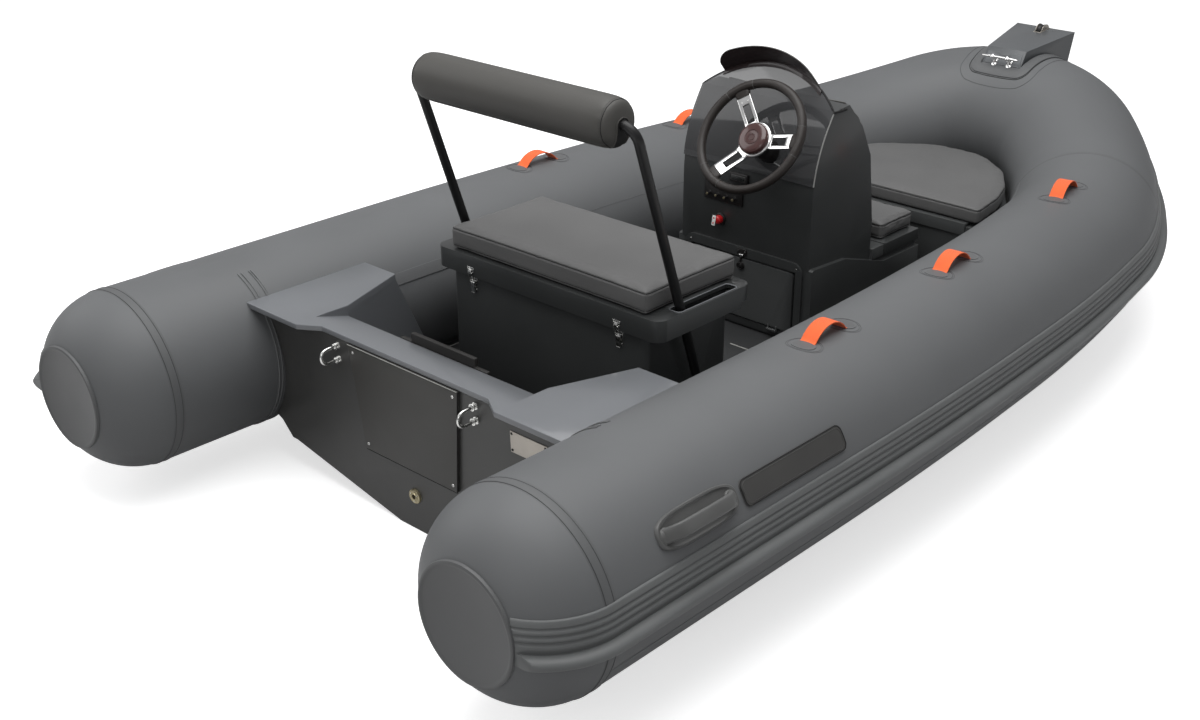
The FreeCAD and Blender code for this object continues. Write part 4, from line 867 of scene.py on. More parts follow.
def side_of(node):
    """The body a CAD node rides on."""
    for body, names in frame["record"]["behaviour"]["bodies"].items():
        if node in names:
            return body
    return "boat"


def get_points(me, what="co"):
    """The points or the normals of a mesh as rows."""
    flat = np.empty(len(me.vertices) * 3)
    me.vertices.foreach_get(what, flat)
    return flat.reshape(-1, 3)


def set_points(me, co):
    """Puts rows back as a mesh's points."""
    me.vertices.foreach_set("co", co.ravel())
    me.update()


def swell(ob, cap, pressure=4.0, steps=20):
    """Blows a closed cloth up a little, holds each point near its start, and gives the new points."""
    start = get_points(ob.data)
    mod = ob.modifiers.new("cloth", "CLOTH")
    for key, value in (("quality", 3), ("mass", 0.3), ("tension_stiffness", 20.0),
                       ("compression_stiffness", 20.0),
                       ("shear_stiffness", 8.0), ("bending_stiffness", 1.2), ("use_pressure", True),
                       ("uniform_pressure_force", pressure)):
        setattr(mod.settings, key, value)
    mod.settings.effector_weights.gravity = 0.0
    mod.collision_settings.use_collision = False
    mod.collision_settings.use_self_collision = False
    mod.point_cache.frame_start = 1
    mod.point_cache.frame_end = steps
    for f in range(1, steps + 1):
        scene.frame_set(f)
    dg = bpy.context.evaluated_depsgraph_get()
    end = get_points(ob.evaluated_get(dg).to_mesh())
    ob.evaluated_get(dg).to_mesh_clear()
    ob.modifiers.clear()
    scene.frame_set(1)
    move = end - start
    length = np.linalg.norm(move, axis=1)
    keep = np.minimum(1.0, cap / np.maximum(length, 1e-9))
    return start + move * keep[:, None]


def relax(me, co, rounds=3, share=0.5):
    """Even out points over their neighbours."""
    edges = np.empty(len(me.edges) * 2, dtype=np.int64)
    me.edges.foreach_get("vertices", edges)
    edges = edges.reshape(-1, 2)
    n = len(co)
    a = np.concatenate((edges[:, 0], edges[:, 1]))
    b = np.concatenate((edges[:, 1], edges[:, 0]))
    count = np.maximum(np.bincount(a, minlength=n), 1)
    for _ in range(rounds):
        total = np.stack([np.bincount(a, weights=co[b, k], minlength=n) for k in range(3)], axis=1)
        co = co * (1 - share) + total / count[:, None] * share
    return co


def soft(node, name, mat, voxel, inset, cap, shape=None, source=None):
    """A padded piece from a CAD solid: drawn in, remeshed, blown up and subdivided."""
    bm = bmesh.new()
    if source is None:
        bm.from_mesh(NODES[node].data)
        bmesh.ops.remove_doubles(bm, verts=bm.verts, dist=1e-5)
    else:
        source(bm)
    ob = enter(bpy.data.objects.new(name, to_mesh(bm, name, False)))
    mod = ob.modifiers.new("voxel", "REMESH")
    mod.mode = "VOXEL"
    mod.voxel_size = voxel
    apply_all(ob)
    me = ob.data
    co = relax(me, get_points(me))
    set_points(me, co)
    co = co - get_points(me, "normal") * inset
    set_points(me, co)
    co = swell(ob, cap)
    set_points(me, co if shape is None else shape(co))
    sub = ob.modifiers.new("fine", "SUBSURF")
    sub.levels = 1
    sub.render_levels = 1
    apply_all(ob)
    finish_piece(ob, mat, side_of(node), (node,), "vinyl_grey", True)
    return ob


def surface_of(ob):
    """A search tree of an object's faces."""
    bm = bmesh.new()
    bm.from_mesh(ob.data)
    tree = BVHTree.FromBMesh(bm)
    bm.free()
    return tree


def seam_line(tree, ring, z, out=0.08):
    """Points where a level line round a cushion meets its side."""
    pts = []
    n = len(ring)
    for i in range(n):
        x, y = ring[i]
        a = Vector(ring[(i + 1) % n]) - Vector(ring[i - 1])
        d = Vector((a.y, -a.x, 0)).normalized()
        hit = tree.ray_cast(Vector((x, y, z)) + d * out, -d, out * 2)[0]
        if hit is not None:
            pts.append(hit)
    return pts


def ring_points(corners, radius, step=0.012):
    """A closed line with rounded corners, anticlockwise from above."""
    out = []
    n = len(corners)
    for i in range(n):
        p, q, r = Vector(corners[i - 1]), Vector(corners[i]), Vector(corners[(i + 1) % n])
        a = (p - q).normalized()
        b = (r - q).normalized()
        half = a.angle(b) / 2
        t = min(radius / math.tan(half), 0.45 * min((p - q).length, (r - q).length))
        rr = t * math.tan(half)
        c = q + (a + b).normalized() * (rr / math.sin(half))
        u = (q + a * t - c)
        w = (q + b * t - c)
        m = max(2, int(u.angle(w) * rr / step))
        for k in range(m + 1):
            f = k / m
            v = (u.lerp(w, f)).normalized() * rr
            out.append(c + v)
        nxt = out[-1]
        goal = r + (q - r).normalized() * t
        m = int((goal - nxt).length / step)
        for k in range(1, m):
            out.append(nxt.lerp(goal, k / m))
    return [(p.x, p.y) for p in out]


def groove(ob, line, width, depth):
    """Sinks a sewn seam into a padded piece along a closed or open line of points."""
    kd = KDTree(len(line))
    for i, p in enumerate(line):
        kd.insert(p, i)
    kd.balance()
    co, no = get_points(ob.data), get_points(ob.data, "normal")
    cell = 0.02  # only points in cells near the line are looked at
    seen = {tuple(c) for c in np.floor(np.array([tuple(p) for p in line]) / cell).astype(int).tolist()}
    wide = {(a + i, b + j, c + k) for a, b, c in seen
            for i in (-1, 0, 1) for j in (-1, 0, 1) for k in (-1, 0, 1)}
    cells = np.floor(co / cell).astype(int).tolist()
    for i, c in enumerate(cells):
        if tuple(c) in wide:
            d = kd.find(co[i])[2]
            if d < width * 2.2:
                co[i] -= no[i] * depth * math.exp(-(d / width) ** 2)
    set_points(ob.data, co)


def dense(line, step=0.003, closed=True):
    """A line with points no further apart than a step."""
    out = []
    m = len(line)
    for i in range(m if closed else m - 1):
        a, b = line[i], line[(i + 1) % m]
        k = max(1, int((b - a).length / step))
        for j in range(k):
            out.append(a.lerp(b, j / k))
    return out


def stitches(line, tree, name, closed=True, length=0.0042, gap=0.0026):
    """Short rounded threads along a line, each lying on the surface."""
    r, lift, step = 0.0005, 0.0006, 0.001
    bm = bmesh.new()
    pts = dense(line, step, closed)
    seg = max(2, int(length / step))
    for i in range(0, len(pts) - seg, max(1, int((length + gap) / step))):
        a, b = pts[i], pts[i + seg]
        co, nrm = tree.find_nearest((a + b) / 2)[:2]
        if co is None or (b - a).length <= 1e-5:
            continue
        m = Matrix.Translation(co + nrm * lift) @ frame_from(nrm, (b - a).normalized())
        res = bmesh.ops.create_cube(bm, size=1.0)
        bmesh.ops.scale(bm, vec=(length, r * 2, r * 1.4), verts=res["verts"])
        for v in res["verts"]:
            if abs(v.co.x) > length * 0.4:
                v.co.z -= r * 0.6
                v.co.y *= 0.6
        bmesh.ops.transform(bm, matrix=m, verts=res["verts"])
    return loose_bm(name, bm, M["thread"], 60)


def welt(tree, line, r, name, closed=True, mat=None):
    """A thin dark line lying in a sewn seam."""
    pts = []
    for p in dense(line, 0.008, closed):
        co, nrm = tree.find_nearest(p)[:2]
        if co is not None:
            pts.append(co + nrm * r * 0.3)
    return pipe(pts + (pts[:1] if closed else []), r, mat or M["near_black_and_shade"], 6, name + "_welt")


# Sewn seams: distance below the top, and width and depth of the groove, in metres
SEAM_DROP = 0.009
TOP_SEAM = (0.0026, 0.0028)


def top_seam(ob, ring, z):
    """The groove round a cushion's top. Gives its line."""
    top = seam_line(surface_of(ob), ring, z)
    groove(ob, dense(top), *TOP_SEAM)
    return top


def top_thread(tree, top, name):
    """The stitches and the dark line that lie in the top seam."""
    row = [p - Vector((0, 0, 0.0052)) for p in top]
    return [stitches(row, tree, name + "_sewn"), welt(tree, top, 0.0009, name)]


def crown_box(lo, hi, crown, pull):
    """Crowns the top, pulls the sides in between the corners and keeps the foot flat."""
    cx, cy = (lo.x + hi.x) / 2, (lo.y + hi.y) / 2
    hx, hy = (hi.x - lo.x) / 2, (hi.y - lo.y) / 2

    def work(co):
        u = np.clip((co[:, 0] - cx) / hx, -1, 1)
        v = np.clip((co[:, 1] - cy) / hy, -1, 1)
        t = np.clip((co[:, 2] - lo.z) / (hi.z - lo.z), 0, 1)
        co[:, 2] += crown * (1 - u ** 4) * (1 - v ** 4) * t ** 2
        co[:, 0] -= np.sign(u) * pull * (np.abs(u) ** 6) * (1 - v ** 2)
        co[:, 1] -= np.sign(v) * pull * (np.abs(v) ** 6) * (1 - u ** 2)
        for axis in (0, 1):
            co[:, axis] = np.clip(co[:, axis], lo[axis] + FILM, hi[axis] - FILM)
        co[:, 2] = np.clip(co[:, 2], lo.z + FILM, hi.z + 0.004)
        return co
    return work


def box_of(node):
    """A CAD node's lower and upper corner."""
    return [Vector(v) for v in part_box(node)]


def box_cushion(node, name, corner, crown, pull, voxel):
    """A square cushion with a sewn seam round its top, one near its foot and one down each corner."""
    foot = 0.010
    lo, hi = box_of(node)
    ob = soft(node, name, M["vinyl"], voxel, 0.003, 0.005, crown_box(lo, hi, crown, pull))
    tree = surface_of(ob)
    corners = [(lo.x, lo.y), (hi.x, lo.y), (hi.x, hi.y), (lo.x, hi.y)]
    ring = ring_points(corners, corner)
    top = top_seam(ob, ring, hi.z - SEAM_DROP)
    low = seam_line(tree, ring, lo.z + foot)
    groove(ob, dense(low), 0.0024, 0.0018)
    middle = (lo + hi) / 2
    for x, y in corners:
        d = Vector((math.copysign(1, x - middle.x), math.copysign(1, y - middle.y), 0)).normalized()
        edge = []
        for k in range(12):
            z = lo.z + foot + (hi.z - lo.z - foot - SEAM_DROP) * k / 11
            hit = tree.ray_cast(Vector((x, y, z)) + d * 0.06, -d, 0.2)[0]
            if hit is not None:
                edge.append(hit)
        if len(edge) > 2:
            groove(ob, dense(edge, closed=False), 0.0018, 0.0012)
    tree = surface_of(ob)
    parts = top_thread(tree, top, name) + [welt(tree, low, 0.0008, name)]
    join(name + "_stitching", parts, body=side_of(node), slot="vinyl_grey")


box_cushion("seat_cushion", "seat_pad", 0.016, 0.0035, 0.003, 0.0066)
box_cushion("front_seat_cushion", "front_seat_pad", 0.02, 0.006, 0.003, 0.0055)
bow_lo, bow_hi = box_of("bow_cushion")


def bow_shape(co):
    """Crowns the bow cushion's top."""
    t = np.clip((co[:, 2] - bow_lo.z) / (bow_hi.z - bow_lo.z), 0, 1)
    u = np.clip(np.abs(co[:, 0]) / 0.38, 0, 1)
    v = np.clip((co[:, 1] - bow_lo.y) / (bow_hi.y - bow_lo.y), 0, 1)
    co[:, 2] += 0.004 * (1 - u ** 4) * np.clip(v * (1 - v) * 5, 0, 1) * t ** 2
    co[:, 2] = np.clip(co[:, 2], bow_lo.z + FILM, bow_hi.z + 0.005)
    return co


bow_pad = soft("bow_cushion", "bow_pad", M["vinyl"], 0.0072, 0.003, 0.005, bow_shape)


def outline_of(node, z):
    """The outer line of a node at a height, sorted round its middle."""
    pts = sorted({(round(v.co.x, 4), round(v.co.y, 4)) for v in NODES[node].data.vertices
                  if abs(v.co.z - z) < 0.001})
    cx = sum(p[0] for p in pts) / len(pts)
    cy = sum(p[1] for p in pts) / len(pts)
    pts.sort(key=lambda p: math.atan2(p[1] - cy, p[0] - cx))
    clean = []
    for p in pts:
        if not clean or math.hypot(p[0] - clean[-1][0], p[1] - clean[-1][1]) > 0.01:
            clean.append(p)
    return clean


bow_top = top_seam(bow_pad, ring_points(outline_of("bow_cushion", bow_hi.z), 0.02), bow_hi.z - SEAM_DROP)
join("bow_pad_stitching", top_thread(surface_of(bow_pad), bow_top, "bow_pad"), body="bow_lid",
     slot="vinyl_grey")
soft("console_back_pad", "console_pad", M["vinyl_dark"], 0.0072, 0.002, 0.004)

# Backrest bolster: a stuffed roll with gathered ends and a sewn flap underneath
r_lo, r_hi = box_of("backrest_bolster")
ROLL = Vector((0.0, (r_lo.y + r_hi.y) / 2, (r_lo.z + r_hi.z) / 2))
ROLL_R = (r_hi.z - r_lo.z) / 2
ROLL_HALF = (r_hi.x - r_lo.x) / 2


def roll_source(bm):
    """A roll closed by rounded ends: places along it and its radius there, as shares of the CAD's."""
    spots = [(-1.0, 0.25), (-0.995, 0.55), (-0.982, 0.76), (-0.96, 0.89), (-0.93, 0.96), (-0.88, 0.99)]
    spots += [(-0.8 + 1.6 * k / 16, 1.0) for k in range(17)]
    spots += [(-a, b) for a, b in reversed(spots[:6])]
    rings = [[bm.verts.new((a * ROLL_HALF, ROLL.y + math.cos(t) * b * ROLL_R,
                            ROLL.z + math.sin(t) * b * ROLL_R))
              for t in turns(40)] for a, b in spots]
    bridge(bm, rings, False)
    bm.faces.new(rings[0][::-1])
    bm.faces.new(rings[-1])
    bmesh.ops.recalc_face_normals(bm, faces=bm.faces)


def roll_shape(co):
    """Keeps the roll inside the CAD's and gathers its ends in folds."""
    y = co[:, 1] - ROLL.y
    z = co[:, 2] - ROLL.z
    r = np.sqrt(y * y + z * z)
    k = np.minimum(1.0, (ROLL_R - FILM) / np.maximum(r, 1e-6))
    ang = np.arctan2(z, y)
    near_end = np.exp(-((np.abs(co[:, 0]) / ROLL_HALF - 0.93) / 0.03) ** 2)
    soft_r = 1.0 - 0.012 * near_end * (0.5 + 0.5 * np.sin(ang * 13.0))
    co[:, 1] = ROLL.y + y * k * soft_r
    co[:, 2] = ROLL.z + z * k * soft_r
    co[:, 0] = np.clip(co[:, 0], -ROLL_HALF + FILM, ROLL_HALF - FILM)
    return co


bolster = soft("backrest_bolster", "bolster", M["vinyl_dark"], 0.0062, 0.003, 0.005, roll_shape,
               roll_source)
bolster_tree = surface_of(bolster)


def on_roll(x, a):
    """The point of the bolster's skin at a place along it and an angle round it, or None."""
    d = Vector((0, math.cos(a), math.sin(a)))
    return bolster_tree.ray_cast(Vector((x, ROLL.y, ROLL.z)) + d * 0.12, -d, 0.2)[0]


def bolster_line(degrees, half=0.31, n=90):
    """A line along the bolster at an angle."""
    hits = [on_roll(half * (2 * k / n - 1), math.radians(degrees)) for k in range(n + 1)]
    return [hit for hit in hits if hit is not None]


flap, flap_b = bolster_line(-128), bolster_line(-62)
groove(bolster, dense(flap, closed=False), 0.0022, 0.0022)
groove(bolster, dense(flap_b, closed=False), 0.0022, 0.0018)
ends = []
for k in (-1, 1):
    ring = [hit for hit in (on_roll(k * (ROLL_HALF - 0.020), a) for a in turns(64)) if hit is not None]
    groove(bolster, dense(ring), 0.002, 0.0014)
    ends.append((k, ring))
bolster_tree = surface_of(bolster)
sewn = [stitches([p + Vector((0, 0, 0.004)) for p in flap], bolster_tree, "flap_sewn", False)]
for k, ring in ends:
    sewn.append(stitches([p - Vector((k * 0.005, 0, 0)) for p in ring], bolster_tree, "end_sewn"))
    sewn.append(welt(bolster_tree, ring, 0.0009, "end"))
sewn.append(welt(bolster_tree, flap, 0.0016, "flap", False, M["vinyl_dark"]))
sewn.append(welt(bolster_tree, flap_b, 0.0010, "flap_b", False))


def pocket(k):
    """The slit at a bolster's end where the frame tube goes in, as a dark patch of painted shade, with its
    bound edge.
    """
    rows = []
    for i in range(13):
        dz = 0.017 - 0.068 * i / 12
        half = 0.019 * math.sqrt(max(1.0 - (dz / 0.017) ** 2, 0.0)) if dz > 0 else 0.019 - 0.012 * dz
        row = []
        for j in range(9):
            y = ROLL.y + half * (j / 4.0 - 1.0)
            hit, nrm = bolster_tree.ray_cast(Vector((k * 0.5, y, ROLL.z + dz)), Vector((-k, 0, 0)), 0.4)[:2]
            if hit is None:
                return []
            row.append(hit + nrm * 0.0006)
        rows.append(row)
    bm = bmesh.new()
    vs = [bm.verts.new(p) for row in rows for p in row]
    for f in grid(13, 9, False):
        bm.faces.new([vs[q] for q in f])
    bmesh.ops.remove_doubles(bm, verts=bm.verts, dist=1e-5)
    border = [row[0] for row in reversed(rows)] + [row[8] for row in rows[1:]]
    return [loose_bm("pocket", bm, M["near_black_and_shade"], 60), pipe(border, 0.0015, M["vinyl_dark"], 8, "pocket_edge")]


sewn += pocket(1) + pocket(-1)
join("bolster_stitching", sewn, body="backrest", slot="vinyl_grey")

# Steering wheel
TILT = math.radians(35)
T_AXIS = Vector((0, -math.cos(TILT), math.sin(TILT)))  # from the dash to the helmsman
WHEEL = P(66, 1633, 735)  # the rim's middle
W_MAT = Matrix.Translation(WHEEL) @ frame_from(T_AXIS)
WHEEL_R = 0.152  # from the middle to the rim's core
SEAM_R = 0.0122  # radius at which the thread lies on the rim
SPOKES = (6.0, 127.0, 241.0)  # angles in degrees


def on_wheel(radius, a, z=0.0):
    """A point by radius and angle in the wheel's plane, raised along its axis."""
    return W_MAT @ Vector((radius * math.cos(a), radius * math.sin(a), z))


n_ring, n_sec = 168, 20
verts = []
for a in turns(n_ring):
    near = min(abs((math.degrees(a) - s + 180) % 360 - 180) for s in SPOKES)
    # thicker over a spoke, and drawn in where a band is sewn round
    grip = 0.0119 if 14.0 < near < 16.5 else 0.0130 if near < 15.0 else 0.0126
    for t in turns(n_sec):
        r = grip * (1.0 - 0.05 * max(0.0, -math.cos(t)) ** 3)
        verts.append(on_wheel(WHEEL_R + r * math.cos(t), a, r * math.sin(t)))
faces = [(i * n_sec + j, w * n_sec + j, w * n_sec + q, i * n_sec + q)
         for i in range(n_ring) for j in range(n_sec) for w in [(i + 1) % n_ring] for q in [(j + 1) % n_sec]]
rim_ob = loose("wheel_grip", verts, faces, M["rim"])
finish_piece(rim_ob, None, "steering_wheel", ("wheel_rim",), "rim_black")
rim_tree = surface_of(rim_ob)
sew = [stitches([on_wheel(WHEEL_R - SEAM_R, a) for a in turns(180)], rim_tree, "rim_sewn", length=0.004,
                gap=0.003)]
sleeve = []
for t in turns(20):
    x, y = squared(t, 0.6, 0.8)
    sleeve.append((0.0215 * x, 0.0072 * y))
for s in SPOKES:
    for side in (-1, 1):
        a = math.radians(s + side * 15.2)
        loop = [on_wheel(WHEEL_R + SEAM_R * math.cos(t), a, SEAM_R * math.sin(t)) for t in turns(24)]
        sew.append(pipe(loop + loop[:1], 0.0009, M["thread"], 6, "rim_band"))
    # leather sleeve over each spoke's root
    root = [on_wheel(r, math.radians(s), z)
            for r, z in ((0.149, 0.0), (0.139, -0.0022), (0.130, -0.0044), (0.126, -0.0052))]
    sew.append(sweep(root, sleeve, M["rim"], up=T_AXIS, name="sleeve", scales=[1.0, 1.05, 1.0, 0.93]))
join("wheel_sewing", sew, body="steering_wheel", slot="rim_black")
softened("wheel_spokes", M["polished"], 0.0012, "steering_wheel", "stainless")
pin_parts = []
for s in SPOKES:
    for side in (-1, 1):
        across = Vector((-math.sin(math.radians(s)), math.cos(math.radians(s)), 0)) * side * 0.0095
        spot = on_wheel(0.1125, math.radians(s), -0.0062) + W_MAT.to_3x3() @ across
        pin_parts += screw(spot, T_AXIS, M["steel"], 0.0019, False)
join("spoke_pins", pin_parts, body="steering_wheel", slot="stainless")
# the hub's cap: radius, and depth below its face
hub_face, hub_foot, hub_r = -0.004, -0.0218, 0.0442
cap = [(0.0, 0.0006), (0.0075, 0.0006), (0.0082, 0.0014), (0.0094, 0.0014), (0.0102, 0.0004),
       (0.0185, 0.0002), (0.0193, 0.0012), (0.0208, 0.0012), (0.0216, 0.0), (0.035, 0.0006),
       (0.0405, 0.0022), (0.0432, 0.0052), (hub_r, 0.0095)]
hub_prof = [(r, hub_face - d) for r, d in cap] + [(hub_r, hub_foot), (0.0, hub_foot)]
hub_ob = lathe(hub_prof, WHEEL, T_AXIS, M["hub"], 72, "hub")
flange = [(hub_r, -0.0200), (0.0475, -0.0200), (0.0487, -0.0206), (0.0489, hub_foot), (hub_r, hub_foot),
          (hub_r, -0.0200)]
hub_ring = lathe(flange, WHEEL, T_AXIS, M["polished"], 72, "hub_ring")
join("wheel_centre", [hub_ob, hub_ring], body="steering_wheel", gone=("wheel_hub",), slot="hub_brown")
# boss gaiter rings on the column
col = []
boss = [(0.0, 0.002), (0.0318, 0.002), (0.0328, 0.0008), (0.0328, -0.0008), (0.0318, -0.002), (0.0, -0.002)]
for d in (-0.064, -0.071, -0.078):
    col.append(lathe(boss, WHEEL + T_AXIS * d, T_AXIS, M["black_plastic"], 48, "boss_ring"))
join("column_rings", col, slot="black_plastic")


# Tube fittings
def arc_degrees(metres):
    """An arc length round the tube as degrees."""
    return metres / R * 180 / PI


def tube_patch_lines(s, degrees, side, rx, ry, r, mat):
    """Fine concentric seam lines of a welded patch: ellipses lying on the tube."""
    out = []
    for k in (1.0, 0.9):
        pts = [on_tube(s + rx * 1000.0 * k * math.cos(t), degrees + arc_degrees(ry * k * math.sin(t)), 0.0001,
                       side)[0]
               for t in turns(64)]
        out.append(pipe(pts + pts[:1], r, mat, 5, "patch_line"))
    return out


def tube_disc(s, degrees, side, layers, count, power, mat, name, smooth):
    """A rounded pad on the tube. Each layer has its half-length and half-width in metres and its height."""
    bm = bmesh.new()
    rings = []
    for rx, ry, lift in layers:
        ring = []
        for t in turns(count):
            cx, cy = squared(t, power)
            ring.append(bm.verts.new(on_tube(s + rx * 1000.0 * cx, degrees + arc_degrees(ry * cy), lift,
                                             side)[0]))
        rings.append(ring)
    bridge(bm, rings)
    return loose_bm(name, bm, mat, smooth)


strap_parts, strap_patches = [], []
STRAPS = ((1, (1105.0, 1680.0, 2390.0)), (-1, (1572.0, 2230.0)))  # side and stations
CREST = 90.0  # degrees up from the tube's widest line
half, rise = 59.0, 0.030  # half the loop's length in mm, its height in metres
arch_r = ((half / 1000.0) ** 2 + rise ** 2) / (2 * rise)
w, t = 0.0198, 0.0011
ribs = [-w + 2 * w * k / 10 for k in range(1, 10)]
webbing = [(-w, -t), (-w + 0.0006, -t - 0.0003)] + [(x, -t - 0.0003) for x in ribs] + [(w, -t), (w, t)]
webbing += [(-x, t + 0.0003 * (1 if k % 2 else 0.4)) for k, x in enumerate(ribs, 1)] + [(-w, t)]
pad_layers = [(0.022 * f, 0.030 * f, h)
              for f, h in ((1.0, -0.0004), (0.985, 0.0016), (0.8, 0.0016), (0.55, 0.0016), (0.3, 0.0016))]
for side, spots in STRAPS:
    for s in spots:
        path = []
        for k in range(25):
            u = -half + 2 * half * k / 24
            z = math.sqrt(max(arch_r ** 2 - (u / 1000.0) ** 2, 0)) - (arch_r - rise)
            path.append(on_tube(s + u, CREST, max(z, 0.0) + 0.0016, side)[0])
        foot_a, foot_b = [on_tube(s + end * (half + 7.0), CREST, -0.0008, side)[0] for end in (-1, 1)]
        up = on_tube(s, CREST, 0.0, side)[1]
        strap_parts.append(sweep([foot_a] + path + [foot_b], webbing, M["orange"], up=up, name="strap",
                                 smooth=35))
        for end in (-1, 1):
            strap_patches.append(tube_disc(s + end * 79.0, CREST, side, pad_layers, 56, 2.0 / 2.2, M["patch"],
                                           "strap_patch", 50))
            strap_patches += tube_patch_lines(s + end * 75.0, CREST, side, 0.034, 0.045, 0.0005,
                                              M["patch_line"])
join("straps", strap_parts, gone=("lifting_straps",), slot="webbing_orange")
join("strap_patches", strap_patches, slot="pvc_grey")


# Carrying handles: an oval base, a dished middle and a flat moulded grip
def smooth_through(pts, steps=4):
    """A smooth curve through points, by Catmull and Rom's formula."""
    out = []
    for i in range(len(pts) - 1):
        a, b, c, d = pts[max(i - 1, 0)], pts[i], pts[i + 1], pts[min(i + 2, len(pts) - 1)]
        for k in range(steps):
            t = k / steps
            out.append(0.5 * ((2 * b) + (c - a) * t + (2 * a - 5 * b + 4 * c - d) * t * t
                              + (3 * b - a - 3 * c + d) * t ** 3))
    return out + [pts[-1]]


handle_parts = []
H_S, H_A = 430.0, 32.0  # station and angle on the tube
base_x, base_y = 0.119, 0.0375  # half-length and half-width of the base
base_layers = []
for f, h in ((1.0, -0.0005), (0.985, 0.0045), (0.93, 0.0075), (0.84, 0.0072), (0.78, 0.0035), (0.70, 0.0022),
             (0.4, 0.0022)):
    base_layers.append((base_x * ((1 + f) / 2 if f > 0.5 else 0.7), base_y * f, h))
half_grip = [(0, 0.0355), (30, 0.0352), (60, 0.034), (74, 0.0305), (86, 0.022), (96, 0.010), (101, 0.003)]
grip_stops = [(-q, lift) for q, lift in half_grip[:0:-1]] + half_grip
prof = []
for t in turns(20):
    x, y = squared(t, 0.45, 0.55)
    prof.append((0.0150 * x, 0.0068 * y))
grip_foot = [(0, 0.0062), (0.008, 0.006), (0.0125, 0.0044), (0.0165, 0.0), (0.0165, -0.005), (0, -0.005)]
for side in (1, -1):
    handle_parts.append(tube_disc(H_S, H_A, side, base_layers, 72, 0.62, M["handle"], "handle_base", 45))
    grip_line = smooth_through([on_tube(H_S + q, H_A, lift, side)[0] for q, lift in grip_stops])
    up = on_tube(H_S, H_A, 0, side)[1]
    handle_parts.append(sweep(grip_line, prof, M["handle"], up=up, name="grip", smooth=45))
    for k in (-1, 1):
        at, up = on_tube(H_S + k * 97.0, H_A, 0.006, side)[:2]
        handle_parts.append(lathe(grip_foot, at, up, M["handle"], 28, "foot"))
join("handles", handle_parts, gone=("carry_handles",), slot="black_plastic")

# Side plates: bare dark panels with a raised outline
plate_parts = []
PLATE_S, PLATE_A = 735.0, 30.0  # station and angle of the middle
ls, a_half = 0.1725, 7.4  # half-length in metres, half-width in degrees
la = a_half * PI / 180 * R
for side in (1, -1):
    plate_parts.append(patch(PLATE_S - ls * 1000.0, PLATE_S + ls * 1000.0, PLATE_A - a_half, PLATE_A + a_half,
                             0.0036, side, 0.016, M["panel"], "side_panel"))
    for inset, r, mat in ((0.0016, 0.0013, "near_black_and_shade"), (0.0062, 0.0008, "panel")):
        x, y = ls - inset, la - inset
        ring = ring_points([(-x, -y), (x, -y), (x, y), (-x, y)], 0.015, 0.004)
        pts = [on_tube(PLATE_S + x * 1000.0, PLATE_A + arc_degrees(y), 0.0038, side)[0] for x, y in ring]
        plate_parts.append(pipe(pts + pts[:1], r, M[mat], 6, "panel_edge"))
join("side_panels", plate_parts, gone=("side_plates",), slot="black_plastic")

# Long seams, the flange strip inboard, and the double beads by the transom
seams = []
for side in (1, -1):
    for deg, r, s0 in ((150.0, 0.0008, 500.0), (-24.0, 0.0008, 172.0), (-62.0, 0.0007, 172.0)):
        pts = [on_tube(s0 + (2735.0 - s0) * k / 150, deg, 0.0001, side)[0] for k in range(151)]
        seams.append(pipe(pts, r, M["patch"], 5, "long_seam"))
    for s in (147.0, 167.0):
        pts = [on_tube(s, 360.0 * k / 96, cone_drop(s) + 0.0009, side)[0] for k in range(96)]
        seams.append(pipe(pts + pts[:1], 0.0009, M["patch_line"], 5, "cone_bead"))
    for s in (446.0, 456.0, 478.0, 484.0):
        pts = [on_tube(s, 112.0 + 150.0 * k / 60, 0.0014, side)[0] for k in range(61)]
        seams.append(pipe(pts, 0.0015, M["patch"], 6, "transom_bead"))
join("tube_seams", seams, slot="pvc_grey")
flange = []
f_from, f_to, n = 800.0, 1290.0, 60
# the strip's section: angle round the tube and height above it
section = ((148.0, -0.0004), (148.2, 0.0026), (152.4, 0.0030), (156.0, 0.0026), (156.4, -0.0004))
for side in (1, -1):
    verts = [on_tube(f_from + (f_to - f_from) * i / n, deg, lift, side)[0]
             for i in range(n + 1) for deg, lift in section]
    faces = grid(n + 1, 5, False)
    faces += [(0, 1, 2, 3, 4), tuple(n * 5 + k for k in (4, 3, 2, 1, 0))]
    flange.append(loose("flange", verts, faces, M["patch"], 40))
join("tube_flanges", flange, slot="pvc_grey")

# Transom
RAKE = math.radians(2.8)
T_N = Vector((0, -math.cos(RAKE), -math.sin(RAKE)))
T_UP = Vector((0, -math.sin(RAKE), math.cos(RAKE)))
TRANSOM_S, TRANSOM_Z = 455.0, 456.0  # station of the after face at a height


def transom(x, z, out=0.0):
    """A point on the after face of the transom, raised outward."""
    return P(x, TRANSOM_S + (TRANSOM_Z - z) * math.tan(RAKE), z) + T_N * out


def screws(points, normal, r, cross=False, mat="steel"):
    """One screw at each point."""
    return [part for p in points for part in screw(p, normal, M[mat], r, cross)]


def bead(a, b, r, mat, name, n=12):
    """A straight round bead between two points."""
    return pipe([a.lerp(b, k / n) for k in range(n + 1)], r, M[mat], 8, name)


